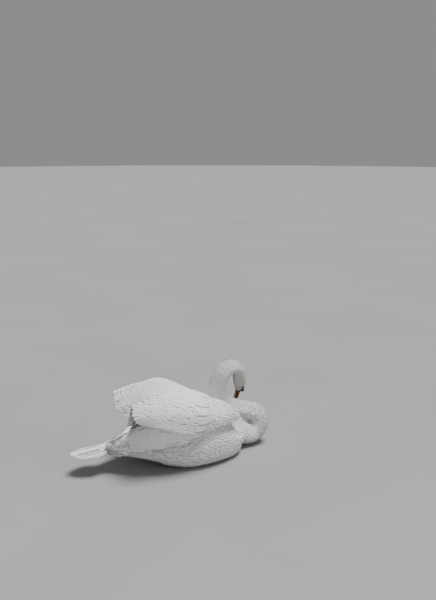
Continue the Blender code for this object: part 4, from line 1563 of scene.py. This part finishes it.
def grow_rows(name, kind, roots, bed):
    """A piece of feathers of one kind, one for each root."""
    return grow(name, rows_of_feathers, {
        "Bed": bed, "Guide": guide, "Vanes": vane_sets[kind], "Step": ROW_STEP,
        "Material": plumage}, roots=roots_mesh(name, roots))

# %% Sizes of the rows
ROW_SIZES = {  # part: share along, spacing of rows, length, exposed width, half width of the vane
    "scapulars": [(0.0, 0.011, 0.034, 0.009, 0.008), (0.4, 0.016, 0.060, 0.013, 0.014),
                  (0.75, 0.022, 0.105, 0.014, 0.017), (1.0, 0.023, 0.150, 0.012, 0.0145)],
    "blade": [(0.0, 0.011, 0.034, 0.009, 0.008), (0.3, 0.018, 0.065, 0.013, 0.013),
              (0.6, 0.026, 0.130, 0.016, 0.018), (1.0, 0.030, 0.190, 0.016, 0.019)],
}
FIRST_ROW = 0.06  # share along at which the rows end, under the shoulder's feathers
LAST_ROW = {"scapulars": 0.995, "blade": 0.99}
CROSSED_SHORT = 0.6  # the left blade bends inwards under the right one, so its feathers show less
EDGE = 0.035  # no feather stands nearer than this share to the edge of its net
UNDER_EDGE = np.array([0, 0, 0.014])  # fluff this far below a feather covers its edge
CREST_REACH = 0.14  # feathers this near to the crest are narrow, short and twice as many
CREST_HALF = 0.0075  # half width of the feathers on the crest
CREST_LONG = 0.074  # the longest feather on the crest
CAP_STEPS = np.array([0.034, -0.034, 0.0])  # three more lie on the crest, the last one on top
CAP_HALF = 0.0125  # the last one is broad, and lies over the crest like a ridge tile
CAP_BEND, CREST_BEND = 0.0115, 0.0045  # how far the sides of such feathers bend down
QUILL_FROM = 0.1  # feathers longer than this are quills, and shorter ones are coverts
EVEN_ENOUGH = 0.75  # a feather is shortened where the surface turns more than this between its ends
NARROWEST = 0.55  # feathers are this much narrower at an edge, which they can't bend round

# %% Lay the roots of the rows
def ends_on(sheet, tip_share, across, size):
    """A feather's tip, its root, and the way it faces. It ends sooner where the surface turns."""
    tip, tip_normal = sheet.on_solid(tip_share, across)
    behind = max(0.0, tip_share - size / sheet.length)
    root, root_normal = sheet.on_solid(behind, across)
    for _ in range(4):
        if tip_normal @ root_normal > EVEN_ENOUGH:
            break
        behind = (2 * behind + tip_share) / 3
        root, root_normal = sheet.on_solid(behind, across)
    return tip, root, sheet.on_solid((tip_share + behind) / 2, across)[1]


def under_fluff(tip, root):
    """Whether the body's fluff covers a feather of the wing."""
    middle = (tip + root) / 2
    fluffy = max(fluff_share(middle), fluff_share(tip) - 0.2, fluff_share(root) - 0.3,
                 fluff_share(middle - UNDER_EDGE) - 0.1)
    return fluffy > 0.5 and abs(tip[1]) > FLUFF_FROM_MIDLINE


def row_root(sheet, along, across, long, half, on_crest, chance):
    """The root of one feather, or None where it is covered or has no room."""
    size = long * (1 + 0.05 * chance.standard_normal())
    size += (min(size, CREST_LONG) - size) * on_crest
    tip_share = np.clip(along + 0.004 * chance.standard_normal(), 0, 1)
    tip, root, normal = ends_on(sheet, tip_share, across, size)
    reach = np.linalg.norm(tip - root)
    if under_fluff(tip, root) or reach < 0.3 * size:
        return None
    size = min(size, reach)
    lay = unit(tip - root)
    slim = NARROWEST + (1 - NARROWEST) * float(ramp(min(across, 1 - across), EDGE, 0.16))
    wide = half * slim * (1 + 0.06 * chance.standard_normal())
    wide += (min(wide, CREST_HALF) - wide) * on_crest
    on_top = across == sheet.crest(along)
    return {"place": tip - lay * size, "lay": lay, "out": unit(normal - lay * (normal @ lay)),
            "long": size, "wide": CAP_HALF if on_top else wide, "thick": 0.0009,
            "lift": 0.0034 - 0.0012 * on_crest, "sink": 0.0030, "roll": -0.0006 * sheet.sign,
            "bend": (CAP_BEND if on_top else CREST_BEND) * on_crest, "cling": 1.0,
            "pick": int(chance.integers(VARIANTS))}


def rows_on(sheet, part, chance):
    """Roots of all rows of one part of a wing, from the rear to the shoulder."""
    sizes = np.array(ROW_SIZES[part])
    shortened = CROSSED_SHORT if sheet.name == "wing_left_blade" else 1.0
    roots, along, stagger = [], LAST_ROW[part], 0.0
    while along > FIRST_ROW:
        spacing, long, exposed, half = (
            np.interp(along, sizes[:, 0], sizes[:, k]) for k in (1, 2, 3, 4))
        count = max(3, int(round(sheet.width(along) / exposed)))
        crest = sheet.crest(along)
        middles = (np.arange(count) + 0.5 + stagger) / count
        doubled = middles[np.abs(middles - crest) < CREST_REACH] + 0.5 / count
        caps = crest + CAP_STEPS if part == "scapulars" else np.empty(0)
        for across in np.concatenate([middles, doubled, caps]):
            if across not in caps:
                across += 0.012 * chance.standard_normal()
            across = np.clip(across, EDGE, 1 - EDGE)
            near = float(ramp(abs(across - crest), 0.03, CREST_REACH + 0.5 / count))
            root = row_root(sheet, along, across, long * shortened, half, 1 - near, chance)
            if root:
                roots.append(root)
        along -= spacing / sheet.length
        stagger = 0.25 - stagger if stagger else 0.25
    return roots

# %% Grow the feathers of both wings
chance = np.random.default_rng(5)
for side in ("left", "right"):
    surface = wing_surface(side)
    for part in ("scapulars", "blade"):
        sheet = WingSheet(side, part, surface)
        roots = rows_on(sheet, part, chance)
        for kind, is_quill in (("quill", True), ("covert", False)):
            group = [root for root in roots if (root["long"] > QUILL_FROM) == is_quill]
            print(sheet.name, kind, len(group))
            grow_rows(f"{kind}s_{side}_{part}", kind, group, surface)

# %% [markdown]
# ## The tail
#
# Twenty-two stiff feathers make the tail. The middle pair is longest and lies on top, and each pair
# outwards is shorter and lies under the one before, so the tips step down to the sides.

# %% Stack the tail feathers in pairs
TAIL_PAIRS = 11
TAIL_ROOT_X = -0.245
TAIL_STEP = 0.00035  # how much lower each pair lies than the one inside it


def stiff_root(ends, facing, wide, thick, chance):
    """The root of a feather that runs straight from one end to the other."""
    lay = unit(ends[1] - ends[0])
    facing = unit(np.array(facing))
    return {"place": ends[0], "lay": lay, "out": unit(facing - lay * (facing @ lay)),
            "long": np.linalg.norm(ends[1] - ends[0]), "wide": wide, "thick": thick,
            "pick": int(chance.integers(VARIANTS))}


def tail_roots(chance):
    places = node_places("tail")
    rim_y = np.abs(places[:, 1])
    tree = ray_tree(nodes["tail"].data, places)
    roots = []
    for pair in reversed(range(TAIL_PAIRS)):
        share = (pair + 0.45) / TAIL_PAIRS
        for sign in (-1, 1):
            tip_y = share * 0.050
            near = np.abs(rim_y - tip_y) < 0.007
            tip_x = places[near, 0].min() + 0.0015
            ends = []
            for x, y in ((TAIL_ROOT_X, tip_y * 0.30), (tip_x, tip_y)):
                hit = tree.ray_cast(Vector((x + 0.004, sign * y, 1)), Vector((0, 0, -1)))[0]
                top = hit.z if hit is not None else 0.088
                ends.append(np.array((x, sign * y, top - 0.0008 - TAIL_STEP * pair)))
            ends[0][2] -= 0.004
            facing = (0, sign * (0.05 + 0.012 * pair), 1)
            roots.append(stiff_root(ends, facing, 0.0165, 0.0013, chance))
    return roots


tail_coat = grow_rows("tail_feathers", "quill", tail_roots(chance), bed)

# %% Cover the tail's root above and below
COVERT_ROWS = [  # above or below, x of the tips, length, half of the row's width, feathers
    (1, -0.335, 0.070, 0.030, 7), (1, -0.312, 0.064, 0.036, 9), (1, -0.290, 0.058, 0.040, 10),
    (1, -0.268, 0.050, 0.042, 11),
    (-1, -0.350, 0.085, 0.026, 6), (-1, -0.328, 0.078, 0.032, 8), (-1, -0.306, 0.070, 0.036, 9),
    (-1, -0.284, 0.060, 0.038, 10),
]


def tail_covert_roots(chance):
    tree = solids_tree(["trunk", "tail"])
    roots = []
    for up, tip_x, long, reach, count in COVERT_ROWS:
        for k in range(count):
            share = (k + 0.5) / count * 2 - 1 + 0.04 * chance.standard_normal()
            x = tip_x + 0.022 * share * share + 0.003 * chance.standard_normal()
            ends = []
            for at_x, at_y in ((x + long, share * reach * 0.72), (x, share * reach)):
                start = Vector((at_x, at_y, 0.10 + 0.3 * up))
                ends.append(np.array(tree.ray_cast(start, Vector((0, 0, -up)))[0]))
            ends[0] -= np.array((0, 0, 0.0035 * up))
            ends[1] += np.array((0, 0, 0.0004 * up))
            roots.append(stiff_root(ends, (0, 0.35 * share, up), 0.0095, 0.0009, chance))
    return roots


grow_rows("coverts_tail", "covert", tail_covert_roots(chance), bed)

# %% [markdown]
# ## The skin
#
# Under the feathers is one skin, from the face to the rump, with no seam between the solids. It is
# made like the bed, but the wings end short of their feather tips, and the tail at its stump.

# %% Merge the skin and draw it in
SKIN_ENDS = {"wing_left_scapulars": -0.150, "wing_right_scapulars": -0.150,
             "wing_left_blade": -0.165, "wing_right_blade": -0.215, "tail": -0.280}
SKIN_UNDER = 0.0010  # how far the skin lies under the bed
RING_DIP = 0.0009
FINEST_BALLS = [(ball_of(1)[0], 0.0145), (ball_of(-1)[0], 0.0145),
                (between_eyes + forward * 0.026, 0.024)]

skin = remeshed("skin", merged(PLUMED, SKIN_ENDS), voxel=0.0048)
refined(skin.data, FINE_BALLS + FINEST_BALLS)
skin_places, skin_normals = arrays_of(skin.data)
skin_pairs = edges_of(skin.data)
skin_owner = nearest_owner(skin_places, PLUMED)
skin_depth = softened(depths_of(skin_owner) + SKIN_UNDER, skin_pairs, 12)
skin_room = room_inside(skin.data, skin_places, skin_normals, reach=0.03)
skin_depth = np.minimum(skin_depth, skin_room * 0.42)
skin_places = softened(skin_places - skin_normals * softened(skin_depth, skin_pairs, 4)[:, None],
                       skin_pairs, 2)
skin_places = lidded(faced(skin_places, skin_normals), sunk=0.0)
for side in (1, -1):  # the feathered ring around each eye dips, so that the small feathers cover it
    local, share = around_eye(skin_places, side)
    dip = ramp(share, 1.62, 1.95) * (1 - ramp(share, 3.4, 4.6)) * (np.abs(local[:, 2]) < 0.012)
    skin_places -= ball_of(side)[1] * (RING_DIP * dip)[:, None]
move_to(skin.data, skin_places)
print(f"skin: up to {skin_depth.max() * 1000:.1f} mm under the solids")

# %% Bare skin and down
def finish(piece, material):
    """Give a piece its one material and smooth shading."""
    piece.data.shade_smooth()
    piece.data.materials.clear()
    piece.data.materials.append(material)
    print(f"{piece.name}: {len(piece.data.polygons)} faces")


skin_bare = bare_share(skin_places)
give(skin.data, "bare", skin_bare)
finish(skin, skin_surface)
print(f"bare: {(skin_bare > 0.5).mean() * 100:.1f}% of the skin's vertices")

# %% [markdown]
# ## Eyes
#
# A swan's eye is dark brown with a round black pupil, and it looks black from a few steps away. The
# gloss matters most: a clear, domed cornea over a darker iris. The ball gets a slight dome in front.

# %% Make the eyeballs
CORNEA = 0.00035  # how far the cornea stands out from the ball


def mesh_object(name, body, material):
    mesh = plain_mesh(name, body)
    mesh.shade_smooth()
    mesh.materials.append(material)
    return add_object(name, mesh)


def make_eye(side):
    middle, away = ball_of(side)
    ball = bmesh.new()
    bmesh.ops.create_uvsphere(ball, u_segments=56, v_segments=44, radius=EYE_RADIUS)
    from_axis = []
    for vert in ball.verts:
        flat = math.hypot(vert.co.x, vert.co.y)
        if vert.co.z > 0:
            vert.co.z += CORNEA * (1 - float(ramp(flat, 0.0, 0.0042)))
        from_axis.append(flat if vert.co.z > 0 else 0.01)
    turn = Vector(away).to_track_quat("Z", "Y").to_matrix().to_4x4()
    bmesh.ops.transform(ball, matrix=turn, verts=ball.verts)
    bmesh.ops.translate(ball, verts=ball.verts, vec=Vector(middle))
    eye = mesh_object("eyeball_left" if side > 0 else "eyeball_right", ball, eye_surface)
    give(eye.data, "from_axis", np.array(from_axis, np.float32) * 1000)
    return eye


eyes = {side: make_eye(side) for side in (1, -1)}
print("eyeballs:", [len(eye.data.polygons) for eye in eyes.values()], "faces")

# %% [markdown]
# ## The bill
#
# The upper half is a trough upside down: high at the root, low and broad near the end, with a hard
# nail at the tip. The black knob grows from its root without a seam, so both are merged in one
# voxel remesh and smoothed, and the fine forms are pushed in afterwards: the raised rim along the
# cutting edge, the slot of each nostril, and the nail.

# %% Sizes of the bill along its length
BILL_LENGTH = 0.080
BILL_BACK = -0.10  # share of the length that the halves reach back into the face
BILL_DROOP = 0.004
BILL_ROOT = between_eyes + forward * 0.026 - crown * 0.0102
UPPER_BILL = np.array([  # share of the length, half width, height of the culmen over the gape
    (0.00, 0.0142, 0.0165), (0.20, 0.0132, 0.0136), (0.45, 0.0130, 0.0096),
    (0.70, 0.0148, 0.0070), (0.88, 0.0146, 0.0054), (0.97, 0.0100, 0.0038), (1.00, 0.0042, 0.0024),
])


def bill_sizes(share):
    half = np.interp(share, UPPER_BILL[:, 0], UPPER_BILL[:, 1])
    rise = np.interp(share, UPPER_BILL[:, 0], UPPER_BILL[:, 2])
    return half, rise


def bill_middle(share):
    share = np.asarray(share, float)[..., None]
    return BILL_ROOT + forward * BILL_LENGTH * share - crown * BILL_DROOP * share

# %% Rings of the two halves, and the knob
RING_CORNERS = 40


def loft(rings):
    """A closed skin over rings of equal count, capped at both ends."""
    body = bmesh.new()
    grid = [[body.verts.new(place) for place in ring] for ring in rings]
    count = len(grid[0])
    for a, b in zip(grid, grid[1:]):
        for k in range(count):
            body.faces.new((a[k], a[(k + 1) % count], b[(k + 1) % count], b[k]))
    for ring in (grid[0], grid[-1]):
        middle = body.verts.new(sum((v.co for v in ring), Vector()) / count)
        for k in range(count):
            body.faces.new((ring[k], ring[(k + 1) % count], middle))
    bmesh.ops.recalc_face_normals(body, faces=body.faces)
    return body


def upper_ring(share):
    half, rise = bill_sizes(share)
    ring = []
    for a in np.linspace(0, 2 * math.pi, RING_CORNERS, endpoint=False):
        c, s = math.cos(a), math.sin(a)
        flat = abs(c) ** 0.8 * math.copysign(1, c)
        up = rise * s ** 0.85 if s > 0 else 0.0014 * s
        ring.append(bill_middle(share) + left * half * flat + crown * up)
    return ring


def lower_ring(share):
    half, _ = bill_sizes(share)
    deep = 0.0088 * (1 - 0.72 * max(share, 0.0))
    ring = []
    for a in np.linspace(0, 2 * math.pi, RING_CORNERS, endpoint=False):
        c, s = math.cos(a), math.sin(a)
        down = deep * abs(s) ** 0.7 * (0.84 + 0.16 * abs(c)) if s < 0 else 0.0
        ring.append(bill_middle(share) - crown * (0.0017 + down) + left * half * 0.88 * c)
    return ring


def knob_body():
    ball = bmesh.new()
    bmesh.ops.create_uvsphere(ball, u_segments=40, v_segments=28, radius=1)
    for vert in ball.verts:
        x, y, z = vert.co
        wide = 1 + 0.10 * (0.5 - z / 2)
        vert.co = Vector(knob + forward * (x * 0.0112 - 0.0010 * z) + left * y * 0.0082 * wide
                         + crown * (z * 0.0084 - 0.0003))
    return ball

# %% Merge each half into one surface
def remeshed_finely(name, bodies, voxel, rounds):
    """One closed surface around a few bodies, smoothed."""
    whole = bmesh.new()
    for body in bodies:
        join(whole, body)
    piece = remeshed(name, whole, voxel)
    places, _ = arrays_of(piece.data)
    places = softened(places, edges_of(piece.data), rounds)
    move_to(piece.data, places)
    return piece


upper_rings = [upper_ring(share) for share in np.linspace(BILL_BACK, 1, 50)]
lower_rings = [lower_ring(share) for share in np.linspace(BILL_BACK, 0.965, 44)]
upper_bill = remeshed_finely("upper_bill", [loft(upper_rings), knob_body()], 0.00065, 5)
lower_bill = remeshed_finely("lower_bill", [loft(lower_rings)], 0.00085, 3)
print(f"bill: {BILL_LENGTH * 1000:.0f} mm from the feathers to the tip")

# %% Push in the fine forms of the bill
NOSTRIL = (0.395, 0.56)  # share of the length, share of the height
NOSTRIL_HALF = (0.0048, 0.0012)
NAIL_START, NAIL_MIDDLE = 0.885, 0.965  # shares of the length
NAIL_HALF = 0.0062
KNOB_RADIUS = 0.0125


def in_bill(places):
    """Share of the length, metres aside, share of the height over the gape, and half width."""
    share = (places - BILL_ROOT) @ forward / BILL_LENGTH
    half, rise = bill_sizes(share)
    above = ((places - bill_middle(share)) * crown).sum(axis=1)
    return share, (places - bill_middle(share)) @ left, above, half, rise


def from_knob(places):
    """How far places are from the middle of the knob, 1 for its radius."""
    return np.linalg.norm((places - knob) / KNOB_RADIUS, axis=1)


def give_bill(half_bill, black, share, above):
    """What the bill's finish reads: where it is black, and millimetres along and above the gape."""
    give(half_bill.data, "black", black)
    give(half_bill.data, "along", share * BILL_LENGTH * 1000)
    give(half_bill.data, "above", above * 1000)


def shape_upper_bill():
    places, normals = arrays_of(upper_bill.data)
    share, aside, above, _, rise = in_bill(places)
    high = above / rise
    on_knob = 1 - ramp(from_knob(places), 0.85, 1.05)
    on_bill = (1 - on_knob) * ramp(share, 0.02, 0.08)
    rim = (1 - ramp(above, 0.0006, 0.0016)) * on_bill
    groove = bell(above, 0.0022, 0.0007) * on_bill * (1 - ramp(share, 0.86, 0.92))
    along = (share - NOSTRIL[0]) * BILL_LENGTH
    slot = np.hypot(along / NOSTRIL_HALF[0], (high - NOSTRIL[1]) * rise / NOSTRIL_HALF[1])
    slot = np.where(np.abs(aside) > 0.002, slot, 9.0)
    nail = np.hypot((share - NAIL_MIDDLE) / (NAIL_MIDDLE - NAIL_START), aside / NAIL_HALF)
    nail = np.where(share > 0.84, nail, 9.0)
    out_by = 0.00035 * rim - 0.00035 * groove - 0.0013 * (1 - ramp(slot, 0.55, 1.0))
    out_by += 0.00030 * bell(slot, 1.35, 0.25) * on_bill
    out_by += 0.00045 * (1 - ramp(nail, 0.86, 1.0)) - 0.00025 * bell(nail, 1.08, 0.07)
    lumps = 0.00022 * np.sin(places[:, 0] * 610) * np.sin(places[:, 1] * 700 + 1) * on_knob
    places += normals * (out_by + lumps)[:, None]
    move_to(upper_bill.data, places)
    black = np.maximum(1 - ramp(above, 0.0016, 0.0026), 1 - ramp(nail, 0.92, 1.02))
    black = np.maximum(black, 1 - ramp(np.minimum(slot, 9), 1.5, 2.1))
    band = np.interp(high, (0.0, 0.5, 1.0), (0.10, 0.045, 0.17))
    black = np.maximum(black, 1 - ramp(share, band, band + 0.02))
    black = np.maximum(black, 1 - ramp(from_knob(places), 1.02, 1.2))
    give_bill(upper_bill, black, share, above)


def shape_lower_bill():
    places, _ = arrays_of(lower_bill.data)
    share, aside, above, half, _ = in_bill(places)
    middle = (1 - ramp(np.abs(aside) / half, 0.28, 0.44)) * ramp(-above, 0.003, 0.005)
    middle *= ramp(share, 0.05, 0.15) * (1 - ramp(share, 0.80, 0.88))
    places = places + crown * (0.0011 * middle)[:, None]
    move_to(lower_bill.data, places)
    give_bill(lower_bill, 1 - 0.9 * middle, share, above)


shape_upper_bill()
shape_lower_bill()
finish(upper_bill, bill_surface)
finish(lower_bill, bill_surface)

# %% [markdown]
# ## Feet and legs
#
# A resting swan folds its black feet under the body, so only the toes show in the shadow of the
# breast. The solids have the right outline. Merged, rounded and given joints, thin webs and plates
# of scale, they read as feet. The webs are pressed thinner than the solids, and nothing goes below
# the floor.

# %% Round the toes, thin the webs, raise the joints
TOES_FROM = np.array([0.0306, 0.060])  # x and y where a foot's three toes meet
TOE_SPREAD = math.radians(22)
TOE_LENGTHS = {-1: 0.1025, 0: 0.122, 1: 0.1098}  # inner, middle and outer toe, without the claws
TOE_HALF = 0.0052
TOE_JOINTS = (0.36, 0.64, 0.86)  # shares along a toe
WEB_TOP = 0.0020
SHANK_END = 0.030


def make_limb(side):
    """One leg with its foot. side is 1 for left and -1 for right."""
    name = "left" if side > 0 else "right"
    limb = remeshed(f"limb_{name}", merged([f"leg_{name}", f"foot_{name}"]), voxel=0.0010)
    places, _ = arrays_of(limb.data)
    places = softened(places, edges_of(limb.data), 3)
    flat = places[:, :2] * (1, side) - TOES_FROM
    best = np.full(len(places), 1.0)
    share, claw = np.zeros(len(places)), np.zeros(len(places))
    for toe, length in TOE_LENGTHS.items():
        ahead = np.array([math.cos(toe * TOE_SPREAD), math.sin(toe * TOE_SPREAD)])
        along = flat @ ahead
        aside = np.linalg.norm(flat - np.clip(along, 0, 1)[:, None] * ahead, axis=1)
        nearer = aside < best
        best = np.where(nearer, aside, best)
        share = np.where(nearer, along / length, share)
        claw = np.where(nearer, ramp(along, length - 0.001, length + 0.001), claw)
    on_toe = (1 - ramp(best, TOE_HALF * 0.7, TOE_HALF * 1.5)) * ramp(share, 0.0, 0.1)
    on_web = ramp(best, TOE_HALF, TOE_HALF * 1.5) * (places[:, 0] > SHANK_END)
    on_web *= 1 - ramp(places[:, 2], 0.005, 0.007)
    swell = sum(bell(share, joint, 0.045) for joint in TOE_JOINTS)
    top = ramp(places[:, 2], 0.002, 0.008)
    places[:, 2] += on_toe * top * (0.0009 * swell - 0.0006)
    places[:, 2] += (np.minimum(places[:, 2], WEB_TOP) - places[:, 2]) * on_web
    places[:, 2] = np.maximum(places[:, 2], FLOOR_GAP)
    move_to(limb.data, places)
    shank = 1 - ramp(places[:, 0], SHANK_END - 0.004, SHANK_END + 0.004)
    give(limb.data, "ridge", np.maximum(on_toe, shank) * top)
    give(limb.data, "along", np.linalg.norm(flat, axis=1) * 1000)
    give(limb.data, "claw", claw * (1 - shank))
    finish(limb, leg_surface)
    return limb


limbs = {side: make_limb(side) for side in (1, -1)}

# %% [markdown]
# ## Every piece rides on the body, and the solids that it stands for are hidden

# %% Bodies, and the hidden solids
coats = [thing for thing in bpy.data.objects
         if thing.name.startswith(("coat_", "quills_", "coverts_", "tail_feathers"))]
for coat in coats:
    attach(coat, "root")
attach(skin, "root")
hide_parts(*[name for name in PLUMED if name != "tail"])
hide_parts("tail")
for piece, slot, replaced in (
    (eyes[1], "eye", ["eye_left"]), (eyes[-1], "eye", ["eye_right"]),
    (upper_bill, "bill_orange", ["bill_upper", "bill_knob"]),
    (lower_bill, "bill_black", ["bill_lower"]),
    (limbs[1], "leg", ["leg_left", "foot_left"]), (limbs[-1], "leg", ["leg_right", "foot_right"]),
):
    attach(piece, "root")
    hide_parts(*replaced)
for helper in [bed, guide] + [t for t in bpy.data.objects if t.name.startswith("sheet_")]:
    bpy.data.objects.remove(helper)

# %% [markdown]
# ## Floor, light and camera
#
# A white bird shows its feathers only when the light is soft but comes mainly from one side. So the
# key light is a sun with a very wide disk, high over the left shoulder, which rakes over the vanes.
# A broad fill and a pale world lift the shadows, and the plain floor is a little darker than the
# bird. The camera stands at eye height and looks down at the bird from its right and from behind.

# %% Floor
FLOOR_GREY = (0.29, 0.29, 0.29, 1)
FLOOR_SHADE = (0.27, 0.27, 0.27, 1)

floor_mesh = bmesh.new()
bmesh.ops.create_circle(floor_mesh, cap_ends=True, segments=96, radius=25)
floor_material, floor_tree, floor_shader = new_finish("pale floor", Roughness=0.85,
                                                      Specular_IOR_Level=0.2)
floor_tone = mottled(floor_tree, on_bird(floor_tree), 1.1, FLOOR_GREY, FLOOR_SHADE, 0.8)
wire(floor_tree, floor_shader, Base_Color=floor_tone["Color"])
floor = mesh_object("floor", floor_mesh, floor_material)

# %% Camera
scene = bpy.context.scene
camera_data = bpy.data.cameras.new("camera")
camera_data.lens = 42
camera_data.sensor_width = 36
camera = add_object("camera", camera_data)
camera.location = (-0.8456, -2.5742, 1.334)
yaw, pitch = math.radians(22), math.radians(13.65)
look = Vector((math.sin(yaw) * math.cos(pitch), math.cos(yaw) * math.cos(pitch), -math.sin(pitch)))
camera.rotation_euler = look.to_track_quat("-Z", "Y").to_euler()
scene.camera = camera

# %% Light
world = bpy.data.worlds.new("world")
world.use_nodes = True
world.node_tree.nodes["Background"].inputs["Color"].default_value = (0.82, 0.82, 0.82, 1)
world.node_tree.nodes["Background"].inputs["Strength"].default_value = 0.34
scene.world = world


def soft_light(name, place, size, energy):
    lamp = bpy.data.lights.new(name, "AREA")
    lamp.energy = energy
    lamp.size = size
    light = add_object(name, lamp)
    light.location = place
    light.rotation_euler = (Vector((0, 0, 0.15)) - Vector(place)).to_track_quat("-Z", "Y").to_euler()


key_lamp = bpy.data.lights.new("key", "SUN")
key_lamp.energy = 4.9
key_lamp.angle = math.radians(26)
key = add_object("key", key_lamp)
key.rotation_euler = Vector((-0.60, 0.25, -2.95)).to_track_quat("-Z", "Y").to_euler()
soft_light("fill", (0.9, -2.6, 1.3), 1.8, 17)
